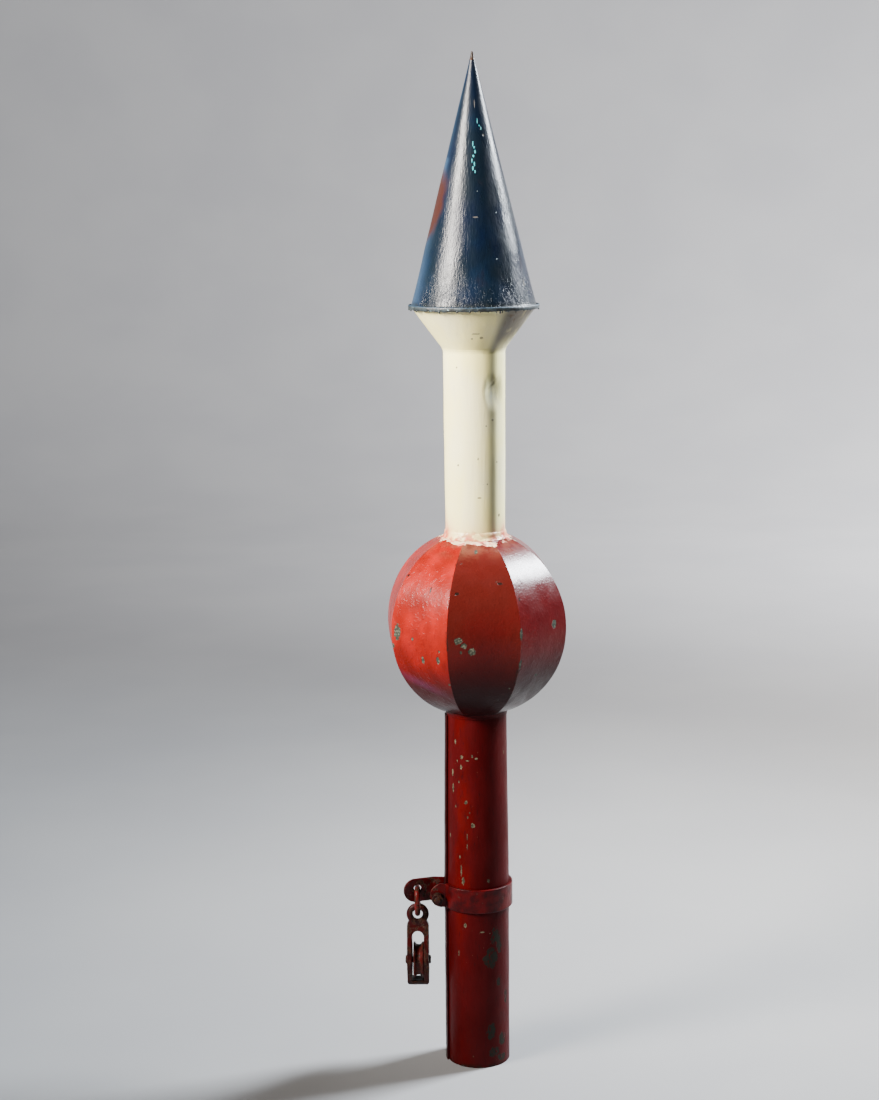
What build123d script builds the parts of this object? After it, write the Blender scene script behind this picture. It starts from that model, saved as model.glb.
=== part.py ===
"""Mast-head finial of a signal mast: spire, funnel, neck, gored ball and mast socket,
with a strap clamp on the socket that carries a halyard block on a wire link.
Millimetres. +Z is up along the mast, -Y is the front, the origin is on the mast's axis
at the foot of the socket."""
from build123d import *

import os
from math import asin, cos, degrees, radians, sin, sqrt, tan

# Sheet and general clearances
sheet = 1.2  # spire, funnel, neck and ball
socket_sheet = 1.5
seam_clearance = 0.03
soldered_clearance = 0.05

# Mast socket, rolled from one sheet with an open lap on its left
socket_length = 458.0
socket_radius = 39.6
socket_parallel_length = 262.0
socket_taper_length = 166.0
socket_top_radius = 37.5
lap_gap = 1.0
lip_azimuth = 190.0
lap_edge_clearance = 0.79  # from the free edge of the lap to the clamp's front ear
joggle_clearance = 1.277  # from the step into the lap to the clamp's rear ear
joggle_sweep = 2.0
lap_top_gap = 1.0

# Ball of eight singly curved gores
gore_count = 8
ball_radius = 115.3  # over the seams
ball_half_height = 116.0
seam_azimuth = -17.5  # first seam, from the front towards the right
ball_seat_land = 1.5

# Neck tube, plugged into the socket and butted under the funnel
neck_exposed = 227.0
neck_top_radius = 37.6
neck_waist_radius = 36.65  # where it enters the ball
neck_fit_clearance = 0.3  # inside the socket's mouth
neck_plug = 12.0
solder_height_top = 9.0
solder_waist_height = 3.0
solder_waist_land = 0.53
solder_height_bottom = 6.0
solder_height_funnel = 2.5
funnel_bead_depth = 3.75
funnel_bead_proud = 1.0

# Funnel, rim and spire
funnel_height = 51.5
rim_radius = 78.7
rim_lip = 2.2
hem_sheet = 1.2
hem_return = 0.88  # from the spire's foot out to the hem's edge
hem_corner = 0.6
spire_base_radius = 75.0
spire_height = 285.5
spire_top_radius = 3.2
point_height = 10.5
point_stub_radius = 1.7
point_stub_length = 9.0
point_tip_radius = 0.96
point_tip_rounding = 0.3
point_shoulder_radius = 1.73
point_shoulder_drop = 1.15

# Strap clamp
strap_width = 30.0
strap_thickness = 4.0
strap_height = 220.5  # middle of the strap above the foot
strap_clearance = 0.05
front_ear_offset = 16.5  # middle of the ear in front of the axis
front_ear_end = 9.5  # from the bolt's middle to the ear's end
rear_ear_offset = 9.5
rear_ear_knee = 7.0  # from the bolt's middle to the bend
rear_ear_length = 38.0
rear_ear_bend = 18.0

# Clamp bolt, M8
bolt_radius = 4.0
bolt_hole_clearance = 0.5
bolt_margin = 6.35  # from the strap's outside to the bolt's middle
bolt_drop = 3.0
bolt_end_chamfer = 0.65
nut_across_flats = 13.0
nut_height = 6.5
head_height = 5.3
washer_radius = 7.5
washer_thickness = 1.6
bolt_end = 2.5  # thread past the nut

# Link of round wire
wire_radius = 3.5
link_margin = 19.0  # from the rear ear's bend to the link's middle
link_rise = 1.8  # top of its upper wire's middle line above the strap's middle
link_inner_width = 17.0
link_bend_radius = 6.0  # inside the bend
link_pitch = 31.3  # between the middles of its end wires
ear_hole_clearance = 1.0
wire_rest_clearance = 0.15

# Halyard block
sheave_radius = 22.3
sheave_width = 13.0
sheave_side_clearance = 0.4
sheave_far_clearance = 1.6
groove_depth = 3.4
rope_radius = 4.2
rope_space = 18.05  # over the sheave, under the crown
sheave_proud = 0.7  # beyond the shell, front and back
sheave_foot_clearance = 3.0
eye_hole_clearance = 2.65
eye_section_radius = 4.1
eye_rest_clearance = 0.5
eye_shoulder = 4.92  # from the eye's hole to the side of its neck
eye_neck_overlap = 1.64
cheek_thickness = 6.3
shoulder_drop = 14.0
shell_end_radius = 9.0
shell_floor = 8.1
crown_drop = 20.2  # from the eye's middle down to the top of the slot
bottom_chamfer = 2.4
bottom_chamfer_height = 4.8
axle_radius = 4.0
axle_clearance = 0.05
axle_fit = 0.02
axle_head_radius = 5.5
axle_head_height = 2.4
axle_head_rounding = 1.7


def radial_plane(azimuth):
    """Plane through the axis: x points out at the azimuth (from +X, anticlockwise), y is up."""
    a = radians(azimuth)
    return Plane(origin=(0, 0, 0), x_dir=(cos(a), sin(a), 0), z_dir=(sin(a), -cos(a), 0))


def revolve_outline(points, azimuth=0.0, sweep=360.0):
    """Closed outline of (radius, height) points, turned about the mast's axis."""
    with BuildSketch(radial_plane(azimuth)) as outline:
        with BuildLine():
            Polyline(points, close=True)
        make_face()
    return revolve(outline.sketch, axis=Axis.Z, revolution_arc=sweep)


def save(builder, name):
    builder.part.label = name
    export_step(builder.part, f"parts/{name}.step")


os.makedirs("parts", exist_ok=True)

# --- Heights that follow from the sizes above ---------------------------------------
ball_flat_radius = ball_radius * cos(radians(180 / gore_count))


def flat_height(radius):
    """Height above the ball's middle at which its flats stand at this radius."""
    return ball_half_height * sqrt(1 - (radius / ball_flat_radius) ** 2)


bottom_seat_radius = socket_top_radius + ball_seat_land
ball_middle = socket_length + flat_height(bottom_seat_radius)
top_seat_radius = neck_waist_radius + ball_seat_land
ball_top = ball_middle + flat_height(top_seat_radius)
funnel_bottom = ball_top + neck_exposed
rim_height = funnel_bottom + funnel_height
spire_top = rim_height + spire_height


neck_foot = socket_length - neck_plug
neck_foot_radius = socket_top_radius - socket_sheet - neck_fit_clearance


def neck_radius(height):
    """The neck narrows evenly down to the ball's top, and evenly again down to its foot."""
    if height > ball_top:
        share = (height - ball_top) / neck_exposed
        return neck_waist_radius + share * (neck_top_radius - neck_waist_radius)
    share = (height - neck_foot) / (ball_top - neck_foot)
    return neck_foot_radius + share * (neck_waist_radius - neck_foot_radius)


# --- Mast socket --------------------------------------------------------------------
def socket_radius_at(height):
    share = min(max((height - socket_parallel_length) / socket_taper_length, 0.0), 1.0)
    return socket_radius + share * (socket_top_radius - socket_radius)


def socket_wall(top, inset, outset):
    """Outline of the wall from the foot to top, inset inwards and outset outwards."""
    bends = [socket_parallel_length, socket_parallel_length + socket_taper_length]
    heights = [0.0] + [h for h in bends if h < top] + [top]
    outer = [(socket_radius_at(h) + outset, h) for h in heights]
    inner = [(socket_radius_at(h) - inset, h) for h in reversed(heights)]
    return outer + inner


lap_top = socket_length - solder_height_bottom - lap_top_gap
lap_outset = lap_gap + socket_sheet
lap_reach = socket_radius + lap_outset
lap_edge_offset = front_ear_offset - strap_thickness / 2 - lap_edge_clearance
lap_edge_azimuth = 180 + degrees(asin(lap_edge_offset / lap_reach))
joggle_offset = rear_ear_offset - strap_thickness / 2 - joggle_clearance
joggle_azimuth = 180 - degrees(asin(joggle_offset / lap_reach))
joggle_end = joggle_azimuth + joggle_sweep

with BuildPart() as mast_socket:
    revolve_outline(
        socket_wall(socket_length, socket_sheet, 0.0),
        lip_azimuth,
        360 + joggle_azimuth - lip_azimuth,
    )
    revolve_outline(socket_wall(lap_top, socket_sheet, lap_outset), joggle_azimuth, joggle_sweep)
    revolve_outline(
        socket_wall(lap_top, -lap_gap, lap_outset), joggle_end, lap_edge_azimuth - joggle_end
    )
save(mast_socket, "mast_socket")

# --- Neck tube ----------------------------------------------------------------------
with BuildPart() as neck_tube:
    revolve_outline(
        [
            (neck_foot_radius - sheet, neck_foot),
            (neck_foot_radius, neck_foot),
            (neck_waist_radius, ball_top),
            (neck_top_radius, funnel_bottom),
            (neck_top_radius - sheet, funnel_bottom),
            (neck_waist_radius - sheet, ball_top),
        ]
    )
save(neck_tube, "neck_tube")

# --- Ball gores ---------------------------------------------------------------------
gore_half_angle = 180 / gore_count
gore_bore_radius = neck_waist_radius + soldered_clearance
for gore in range(gore_count):
    middle_azimuth = -90 + seam_azimuth + (gore + 0.5) * 2 * gore_half_angle
    wedge_reach = 2 * ball_radius
    wedge_side = wedge_reach * tan(radians(gore_half_angle))
    gore_plane = radial_plane(middle_azimuth)
    with BuildPart() as ball_gore:
        with BuildSketch(gore_plane.offset(-wedge_side)) as gore_band:
            with Locations((0, ball_middle)):
                Ellipse(ball_flat_radius, ball_half_height)
                Ellipse(ball_flat_radius - sheet, ball_half_height - sheet, mode=Mode.SUBTRACT)
        extrude(amount=2 * wedge_side)
        wedge_frame = Plane(
            origin=(0, 0, socket_length), x_dir=gore_plane.x_dir, z_dir=(0, 0, 1)
        )
        with BuildSketch(wedge_frame) as wedge:
            with BuildLine():
                Polyline(
                    (0, 0), (wedge_reach, -wedge_side), (wedge_reach, wedge_side), close=True
                )
            make_face()
            Circle(gore_bore_radius, mode=Mode.SUBTRACT)
        extrude(amount=ball_top - socket_length, mode=Mode.INTERSECT)
    save(ball_gore, f"ball_gore_{gore + 1}")

# --- Solder fillets -----------------------------------------------------------------
with BuildPart() as ball_top_solder:
    revolve_outline(
        [
            (neck_waist_radius, ball_top),
            (top_seat_radius, ball_top),
            (neck_waist_radius + solder_waist_land, ball_top + solder_waist_height),
            (neck_radius(ball_top + solder_height_top), ball_top + solder_height_top),
        ]
    )
save(ball_top_solder, "ball_top_solder")

solder_foot = socket_length - solder_height_bottom
with BuildPart() as ball_bottom_solder:
    revolve_outline(
        [
            (socket_top_radius, solder_foot),
            (bottom_seat_radius, socket_length),
            (socket_top_radius, socket_length),
        ]
    )
save(ball_bottom_solder, "ball_bottom_solder")

# --- Funnel -------------------------------------------------------------------------
funnel_slope = (spire_base_radius - neck_top_radius) / (funnel_height - sheet)
funnel_wall = sheet * sqrt(1 + funnel_slope**2)
lip_radius = spire_base_radius + rim_lip
lip_underside = rim_height - sheet
with BuildPart() as funnel:
    revolve_outline(
        [
            (neck_top_radius, funnel_bottom),
            (spire_base_radius, lip_underside),
            (lip_radius, lip_underside),
            (lip_radius, rim_height),
            (spire_base_radius - funnel_wall + sheet * funnel_slope, rim_height),
            (neck_top_radius - funnel_wall, funnel_bottom),
        ]
    )
save(funnel, "funnel")

bead_radius = neck_top_radius + funnel_slope * solder_height_funnel
bead_foot = funnel_bottom - funnel_bead_depth
with BuildPart() as funnel_solder:
    revolve_outline(
        [
            (neck_radius(bead_foot), bead_foot),
            (neck_top_radius + funnel_bead_proud, funnel_bottom),
            (bead_radius, funnel_bottom + solder_height_funnel),
            (neck_top_radius, funnel_bottom),
        ]
    )
save(funnel_solder, "funnel_solder")

# --- Spire --------------------------------------------------------------------------
lip_top = rim_height + sheet
spire_slope = (spire_base_radius - spire_top_radius) / (spire_height - sheet)
spire_wall = sheet * sqrt(1 + spire_slope**2)
with BuildPart() as spire_cone:
    revolve_outline(
        [
            (lip_radius, rim_height),
            (lip_radius, lip_top),
            (spire_base_radius, lip_top),
            (spire_top_radius, spire_top),
            (spire_top_radius - spire_wall, spire_top),
            (spire_base_radius - spire_wall + sheet * spire_slope, rim_height),
        ]
    )
save(spire_cone, "spire_cone")

with BuildPart() as spire_point:
    revolve_outline(
        [
            (0, spire_top - point_stub_length),
            (point_stub_radius, spire_top - point_stub_length),
            (point_stub_radius, spire_top),
            (spire_top_radius, spire_top),
            (point_shoulder_radius, spire_top + point_height - point_shoulder_drop),
            (point_tip_radius, spire_top + point_height - point_tip_rounding),
            (0, spire_top + point_height),
        ]
    )
save(spire_point, "spire_point")

# --- Rim hem folded over both lips --------------------------------------------------
hem_slot_radius = lip_radius + seam_clearance
hem_slot_half = sheet + seam_clearance
hem_half = hem_slot_half + hem_sheet
hem_return_radius = spire_base_radius + hem_return
with BuildPart() as rim_hem:
    revolve_outline(
        [
            (hem_return_radius, rim_height - hem_half),
            (rim_radius - hem_corner, rim_height - hem_half),
            (rim_radius, rim_height - hem_slot_half),
            (rim_radius, rim_height + hem_slot_half),
            (rim_radius - hem_corner, rim_height + hem_half),
            (hem_return_radius, rim_height + hem_half),
            (hem_return_radius, rim_height + hem_slot_half),
            (hem_slot_radius, rim_height + hem_slot_half),
            (hem_slot_radius, rim_height - hem_slot_half),
            (hem_return_radius, rim_height - hem_slot_half),
        ]
    )
save(rim_hem, "rim_hem")

# --- Strap clamp --------------------------------------------------------------------
strap_inner = socket_radius + strap_clearance
strap_outer = strap_inner + strap_thickness
bolt_reach = strap_outer + bolt_margin
front_ear_reach = bolt_reach + front_ear_end
rear_ear_straight = bolt_reach + rear_ear_knee
link_reach = rear_ear_straight + link_margin
ear_hole_radius = wire_radius + ear_hole_clearance
strap_foot = strap_height - strap_width / 2
half_thickness = strap_thickness / 2
front_ear_back = -front_ear_offset + half_thickness
rear_ear_front = rear_ear_offset - half_thickness
bend = radians(rear_ear_bend)
knee = Vector(-rear_ear_straight, rear_ear_offset, strap_height)
ear_plane = Plane(origin=knee, x_dir=(-cos(bend), -sin(bend), 0), z_dir=(-sin(bend), cos(bend), 0))
link_offset = rear_ear_offset - link_margin * tan(bend)
link_top = strap_height + link_rise
ear_hole_middle = link_top - wire_radius + ear_hole_radius - wire_rest_clearance
bolt_height = strap_height - bolt_drop
ear_root = sqrt(strap_inner**2 - rear_ear_offset**2) + half_thickness

with BuildPart() as clamp_strap:
    with BuildSketch(Plane.XY.offset(strap_foot)) as strap_ring:
        Circle(strap_outer)
        Circle(strap_inner, mode=Mode.SUBTRACT)
        with Locations((-strap_outer, (front_ear_back + rear_ear_front) / 2)):
            Rectangle(strap_outer, rear_ear_front - front_ear_back, mode=Mode.SUBTRACT)
    extrude(amount=strap_width)
    front_root = sqrt(strap_inner**2 - front_ear_offset**2) + half_thickness
    with BuildSketch(Plane.XZ.offset(front_ear_offset - half_thickness)) as front_ear:
        straight = front_ear_reach - strap_width / 2 - front_root
        with Locations((-front_root - straight / 2, strap_height)):
            Rectangle(straight, strap_width)
        with Locations((-front_ear_reach + strap_width / 2, strap_height)):
            Circle(strap_width / 2)
        with Locations((0, strap_height)):
            Rectangle(2 * front_root, 2 * strap_width, mode=Mode.SUBTRACT)
    extrude(amount=strap_thickness)
    with BuildSketch(Plane.XY.offset(strap_foot)) as rear_ear_root:
        with Locations((-(ear_root + rear_ear_straight) / 2, rear_ear_offset)):
            Rectangle(rear_ear_straight - ear_root, strap_thickness)
        with Locations((-rear_ear_straight, rear_ear_offset)):
            Circle(half_thickness)
    extrude(amount=strap_width)
    with BuildSketch(ear_plane.offset(-half_thickness)) as rear_ear:
        ear_straight = rear_ear_length - strap_width / 2
        with Locations((ear_straight / 2, 0)):
            Rectangle(ear_straight, strap_width)
        with Locations((ear_straight, 0)):
            Circle(strap_width / 2)
    extrude(amount=strap_thickness)
    with BuildSketch(Plane.XZ) as ear_holes:
        with Locations((-bolt_reach, bolt_height)):
            Circle(bolt_radius + bolt_hole_clearance)
        with Locations((-link_reach, ear_hole_middle)):
            Circle(ear_hole_radius)
    extrude(amount=strap_outer, both=True, mode=Mode.SUBTRACT)
save(clamp_strap, "clamp_strap")

# --- Clamp bolt, nut and washers ----------------------------------------------------
front_face = -front_ear_offset - half_thickness
rear_face = rear_ear_offset + half_thickness
washer_hole = bolt_radius + bolt_hole_clearance
nut_face = front_face - washer_thickness
bolt_front = nut_face - nut_height - bolt_end
head_face = rear_face + washer_thickness
hexagon_radius = nut_across_flats / 2


def bolt_plane(y):
    """Plane across the bolt at this Y, facing the front."""
    return Plane(origin=(-bolt_reach, y, bolt_height), x_dir=(1, 0, 0), z_dir=(0, -1, 0))


with BuildPart() as clamp_bolt:
    with BuildSketch(bolt_plane(head_face)):
        Circle(bolt_radius)
    extrude(amount=head_face - bolt_front)
    with BuildSketch(bolt_plane(head_face + head_height)):
        RegularPolygon(hexagon_radius, 6, major_radius=False)
    extrude(amount=head_height)
    chamfer(clamp_bolt.edges().filter_by(GeomType.CIRCLE).sort_by(Axis.Y)[0], bolt_end_chamfer)
save(clamp_bolt, "clamp_bolt")

with BuildPart() as clamp_nut:
    with BuildSketch(bolt_plane(nut_face)):
        RegularPolygon(hexagon_radius, 6, major_radius=False)
        Circle(bolt_radius + soldered_clearance, mode=Mode.SUBTRACT)
    extrude(amount=nut_height)
save(clamp_nut, "clamp_nut")

for washer_name, washer_front in (("nut_washer", front_face), ("head_washer", head_face)):
    with BuildPart() as clamp_washer:
        with BuildSketch(bolt_plane(washer_front)):
            Circle(washer_radius)
            Circle(washer_hole, mode=Mode.SUBTRACT)
        extrude(amount=washer_thickness)
    save(clamp_washer, washer_name)

# --- Hanging link -------------------------------------------------------------------
link_bottom = link_top - link_pitch
link_half = link_inner_width / 2 + wire_radius
link_corner = link_bend_radius + wire_radius
link_frame = Plane(
    origin=(-link_reach, link_offset, (link_top + link_bottom) / 2), x_dir=(0, 1, 0), z_dir=(1, 0, 0)
)
with BuildPart() as hanging_link:
    with BuildSketch(link_frame, mode=Mode.PRIVATE) as link_shape:
        RectangleRounded(2 * link_half, link_pitch, link_corner)
    link_path = link_shape.sketch.faces()[0].outer_wire()
    with BuildSketch(Plane(origin=link_path @ 0, z_dir=link_path % 0)):
        Circle(wire_radius)
    sweep(path=link_path)
save(hanging_link, "hanging_link")

# --- Halyard block shell ------------------------------------------------------------
eye_hole_radius = wire_radius + eye_hole_clearance
eye_ring_radius = eye_hole_radius + eye_section_radius
cheek_gap = sheave_width + sheave_side_clearance + sheave_far_clearance
shell_width = cheek_gap + 2 * cheek_thickness
shell_half_depth = sheave_radius - sheave_proud
sheave_drop = crown_drop + rope_space + sheave_radius
shell_drop = sheave_drop + sheave_radius + sheave_foot_clearance + shell_floor
eye_middle = link_bottom + wire_radius + eye_rest_clearance - eye_hole_radius
shell_bottom = eye_middle - shell_drop
shoulder = eye_middle - shoulder_drop
sheave_middle = eye_middle - sheave_drop
slot_top = eye_middle - crown_drop
slot_foot = shell_bottom + shell_floor
neck_half_width = eye_hole_radius + eye_shoulder
neck_join = eye_middle - eye_hole_radius - eye_neck_overlap
half_shell = shell_width / 2
end_middle = shell_bottom + shell_end_radius
block_front = Plane(origin=(-link_reach, link_offset, 0), x_dir=(1, 0, 0), z_dir=(0, -1, 0))
block_side = Plane(origin=(-link_reach, link_offset, 0), x_dir=(0, 1, 0), z_dir=(1, 0, 0))
block_reach = 2 * shell_half_depth

with BuildPart() as block_shell:
    with BuildSketch(block_front) as front_outline:
        with BuildLine():
            Polyline(
                (-half_shell + bottom_chamfer, shell_bottom),
                (half_shell - bottom_chamfer, shell_bottom),
                (half_shell, shell_bottom + bottom_chamfer_height),
                (half_shell, shoulder),
                (neck_half_width, neck_join),
                (-neck_half_width, neck_join),
                (-half_shell, shoulder),
                (-half_shell, shell_bottom + bottom_chamfer_height),
                close=True,
            )
        make_face()
    extrude(amount=block_reach, both=True)
    with BuildSketch(block_side, mode=Mode.PRIVATE) as side_outline:
        with Locations((0, sheave_middle)):
            Circle(shell_half_depth)
        with Locations((0, end_middle), (0, shoulder - shell_end_radius)):
            Circle(shell_end_radius)
        make_hull()
        with Locations((0, (neck_join + sheave_middle) / 2)):
            Rectangle(2 * eye_section_radius, neck_join - sheave_middle)
    extrude(side_outline.sketch, amount=block_reach, both=True, mode=Mode.INTERSECT)
    with BuildSketch(block_side) as eye_section:
        with Locations((0, eye_middle + eye_ring_radius)):
            Circle(eye_section_radius)
    revolve(axis=Axis((-link_reach, link_offset, eye_middle), (0, 1, 0)))
    with BuildSketch(block_front) as slot:
        with BuildLine():
            Polyline(
                (-cheek_gap / 2, slot_top - cheek_gap / 2),
                (-cheek_gap / 2, slot_foot),
                (cheek_gap / 2, slot_foot),
                (cheek_gap / 2, slot_top - cheek_gap / 2),
            )
            ThreePointArc(
                (cheek_gap / 2, slot_top - cheek_gap / 2),
                (0, slot_top),
                (-cheek_gap / 2, slot_top - cheek_gap / 2),
            )
        make_face()
    extrude(amount=block_reach, both=True, mode=Mode.SUBTRACT)
    with BuildSketch(block_side) as axle_hole:
        with Locations((0, sheave_middle)):
            Circle(axle_radius + axle_fit)
    extrude(amount=block_reach, both=True, mode=Mode.SUBTRACT)
save(block_shell, "block_shell")

# --- Axle and sheave ----------------------------------------------------------------
axle_left = Plane(
    origin=(-link_reach - half_shell, link_offset, sheave_middle), x_dir=(0, 1, 0), z_dir=(1, 0, 0)
)
with BuildPart() as sheave_axle:
    with BuildSketch(axle_left):
        Circle(axle_radius)
    extrude(amount=shell_width)
    for head_plane, outwards in ((axle_left, -1), (axle_left.offset(shell_width), 1)):
        with BuildSketch(head_plane):
            Circle(axle_head_radius)
        extrude(amount=outwards * axle_head_height)
    head_edges = sheave_axle.edges().filter_by(GeomType.CIRCLE).sort_by(Axis.X)
    fillet([head_edges[0], head_edges[-1]], axle_head_rounding)
save(sheave_axle, "sheave_axle")

sheave_shift = (cheek_gap - sheave_width) / 2 - sheave_side_clearance
groove_root_radius = sheave_radius - groove_depth
groove_middle = groove_root_radius + rope_radius
groove_half = sqrt(rope_radius**2 - (groove_middle - sheave_radius) ** 2)
half_sheave = sheave_width / 2
sheave_bore = axle_radius + axle_clearance
sheave_frame = Plane(
    origin=(-link_reach + sheave_shift, link_offset, sheave_middle), x_dir=(1, 0, 0), z_dir=(0, -1, 0)
)
with BuildPart() as sheave:
    with BuildSketch(sheave_frame) as sheave_outline:
        with BuildLine():
            Polyline(
                (-groove_half, sheave_radius),
                (-half_sheave, sheave_radius),
                (-half_sheave, sheave_bore),
                (half_sheave, sheave_bore),
                (half_sheave, sheave_radius),
                (groove_half, sheave_radius),
            )
            ThreePointArc(
                (-groove_half, sheave_radius), (0, groove_root_radius), (groove_half, sheave_radius)
            )
        make_face()
    revolve(axis=Axis(sheave_frame.origin, (1, 0, 0)))
save(sheave, "sheave")

print("ball middle", round(ball_middle, 2), "ball top", round(ball_top, 2))
print("funnel bottom", round(funnel_bottom, 2), "rim", round(rim_height, 2))
print("total height", round(spire_top + point_height, 2))
print("link pivot", round(-link_reach, 3), round(link_offset, 3), link_top)
print("block pivot", round(link_bottom, 3), "sheave axle", round(sheave_middle, 3))
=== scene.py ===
# %% [markdown]
# # A sheet-metal mast finial
# The piece stood on top of a signal mast. A tinsmith made it: a spire and a funnel soldered rim to
# rim, a straight neck, a ball of eight bent gores and a long socket that slips over the mast. A strap
# clamp on the socket carries a small cast block for a halyard. Everything is painted by hand, in
# several coats, and the coats have chipped.
#
# The model that holds the sizes is loaded first. Its pieces say where everything goes, so this
# lesson only gives them the surfaces that a plain model lacks: dents, lumpy solder, a ragged tar
# line, worn edges and old enamel.

# %% Load the frame
import math

import bpy
import bmesh
from mathutils import Matrix, Vector, noise


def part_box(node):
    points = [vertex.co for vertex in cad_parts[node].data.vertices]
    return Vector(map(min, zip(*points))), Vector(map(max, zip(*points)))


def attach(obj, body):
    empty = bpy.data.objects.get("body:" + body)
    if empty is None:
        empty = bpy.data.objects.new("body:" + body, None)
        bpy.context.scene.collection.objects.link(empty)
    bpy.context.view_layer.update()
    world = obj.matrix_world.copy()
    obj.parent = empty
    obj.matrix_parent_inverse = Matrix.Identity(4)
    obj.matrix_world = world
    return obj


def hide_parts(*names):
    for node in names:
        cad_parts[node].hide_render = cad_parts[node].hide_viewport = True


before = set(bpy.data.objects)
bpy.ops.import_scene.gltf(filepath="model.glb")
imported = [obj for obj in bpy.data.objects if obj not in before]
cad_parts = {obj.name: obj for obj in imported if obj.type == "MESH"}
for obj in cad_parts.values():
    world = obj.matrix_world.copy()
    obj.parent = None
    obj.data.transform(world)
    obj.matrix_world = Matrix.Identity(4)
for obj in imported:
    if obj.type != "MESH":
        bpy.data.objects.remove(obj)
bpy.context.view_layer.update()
mm = 0.001

# %% [markdown]
# ## The camera
# A camera could be aimed with a constraint, but a plain position and three turns are easier to
# read and stay put. It stands a little above the middle of the piece and looks slightly down, which
# is how the spire's rim comes to curve one way and the foot the other.

# %% Camera
camera_place = Vector((0.0, -2.42374, 1.09444))
look_down, look_right, roll = math.radians(10.239), math.radians(-1.037), math.radians(-0.572)
ahead = Vector((
    math.sin(look_right) * math.cos(look_down),
    math.cos(look_right) * math.cos(look_down),
    -math.sin(look_down),
))
level = Vector((math.cos(look_right), -math.sin(look_right), 0.0))
above = level.cross(ahead)
across = level * math.cos(roll) + above * math.sin(roll)
upward = above * math.cos(roll) - level * math.sin(roll)

camera = bpy.data.objects.new("camera", bpy.data.cameras.new("camera"))
camera.data.sensor_width = 36.0
camera.data.lens = 66.02
bpy.context.scene.collection.objects.link(camera)
turn = Matrix((across, upward, -ahead)).transposed().to_4x4()
camera.matrix_world = Matrix.Translation(camera_place) @ turn
bpy.context.scene.camera = camera
print("camera at", tuple(round(c, 3) for c in camera_place))

# %% [markdown]
# ## The light
# Enamel shows its shape by what it mirrors, so the lights are large panels rather than points. A
# broad warm panel stands to the left and front. A tall cool one stands to the right and a little
# behind, and the gap between them leaves the dark stripe down the middle of every round piece. The
# third, from the right, only lights the backdrop. Spread narrows a panel's beam, in degrees.

# %% Light and floor
def light_panel(name, azimuth, height, distance, size, power, colour, aim, spread):
    """A rectangular panel at this azimuth from the front towards the right, aimed at a place."""
    panel = bpy.data.objects.new(name, bpy.data.lights.new(name, "AREA"))
    panel.data.shape = "RECTANGLE"
    panel.data.size, panel.data.size_y = size
    panel.data.energy = power
    panel.data.color = colour
    panel.data.spread = math.radians(spread)
    bearing = math.radians(azimuth)
    place = Vector((distance * math.sin(bearing), -distance * math.cos(bearing), height))
    facing = (Vector(aim) - place).to_track_quat("-Z", "Y")
    panel.matrix_world = Matrix.Translation(place) @ facing.to_matrix().to_4x4()
    bpy.context.scene.collection.objects.link(panel)


warm, cool, neutral = (1.0, 0.94, 0.86), (0.88, 0.94, 1.0), (0.98, 0.98, 1.0)
light_panel("key_panel", azimuth=-60, height=2.2, distance=2.3, size=(1.8, 1.2), power=54, colour=warm,
            aim=(0, 0, 1.1), spread=36)
light_panel("side_panel", azimuth=116, height=2.1, distance=2.0, size=(0.6, 1.0), power=84, colour=cool,
            aim=(0, 0, 0.8), spread=90)
light_panel("backdrop_panel", azimuth=132, height=2.2, distance=3.8, size=(1.2, 1.6), power=400,
            colour=neutral, aim=(1.2, 4.6, 0.6), spread=150)

sky = bpy.data.worlds.new("studio")
sky.use_nodes = True
sky.node_tree.nodes["Background"].inputs["Color"].default_value = (0.62, 0.64, 0.66, 1)
sky.node_tree.nodes["Background"].inputs["Strength"].default_value = 0.04
bpy.context.scene.world = sky

floor_flat, sweep_radius, floor_sides = 4.2, 2.6, 96
sweep = [(0.0, 0.0), (floor_flat, 0.0)]
for turned in range(5, 86, 5):
    rise = math.radians(turned)
    sweep.append((floor_flat + sweep_radius * math.sin(rise), sweep_radius * (1 - math.cos(rise))))
floor_work = bmesh.new()
floor_rim = [floor_work.verts.new((r, 0, z)) for r, z in sweep]
floor_edges = [floor_work.edges.new(pair) for pair in zip(floor_rim, floor_rim[1:])]
bmesh.ops.spin(floor_work, geom=floor_rim + floor_edges, cent=(0, 0, 0), axis=(0, 0, 1), angle=math.tau,
               steps=floor_sides)
bmesh.ops.remove_doubles(floor_work, verts=floor_work.verts, dist=1e-4)
floor_mesh = bpy.data.meshes.new("studio_floor")
floor_work.to_mesh(floor_mesh)
floor_work.free()
floor_mesh.shade_smooth()
studio_floor = bpy.data.objects.new("studio_floor", floor_mesh)
bpy.context.scene.collection.objects.link(studio_floor)
print("three panels and a floor that sweeps up", floor_flat, "m away")

# %% [markdown]
# ## A way to write finishes
# A finish is a net of small nodes. Wired one link at a time it is hard to read, so small classes let
# it be written as sums. `Value` wraps one socket and turns Python's arithmetic into Math nodes. `Net`
# has the only method that adds a node, and `Finish` is a net that makes one material. Every pattern
# reads Object coordinates, which are metres on the piece itself, so a chip stays put when it moves.

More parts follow.
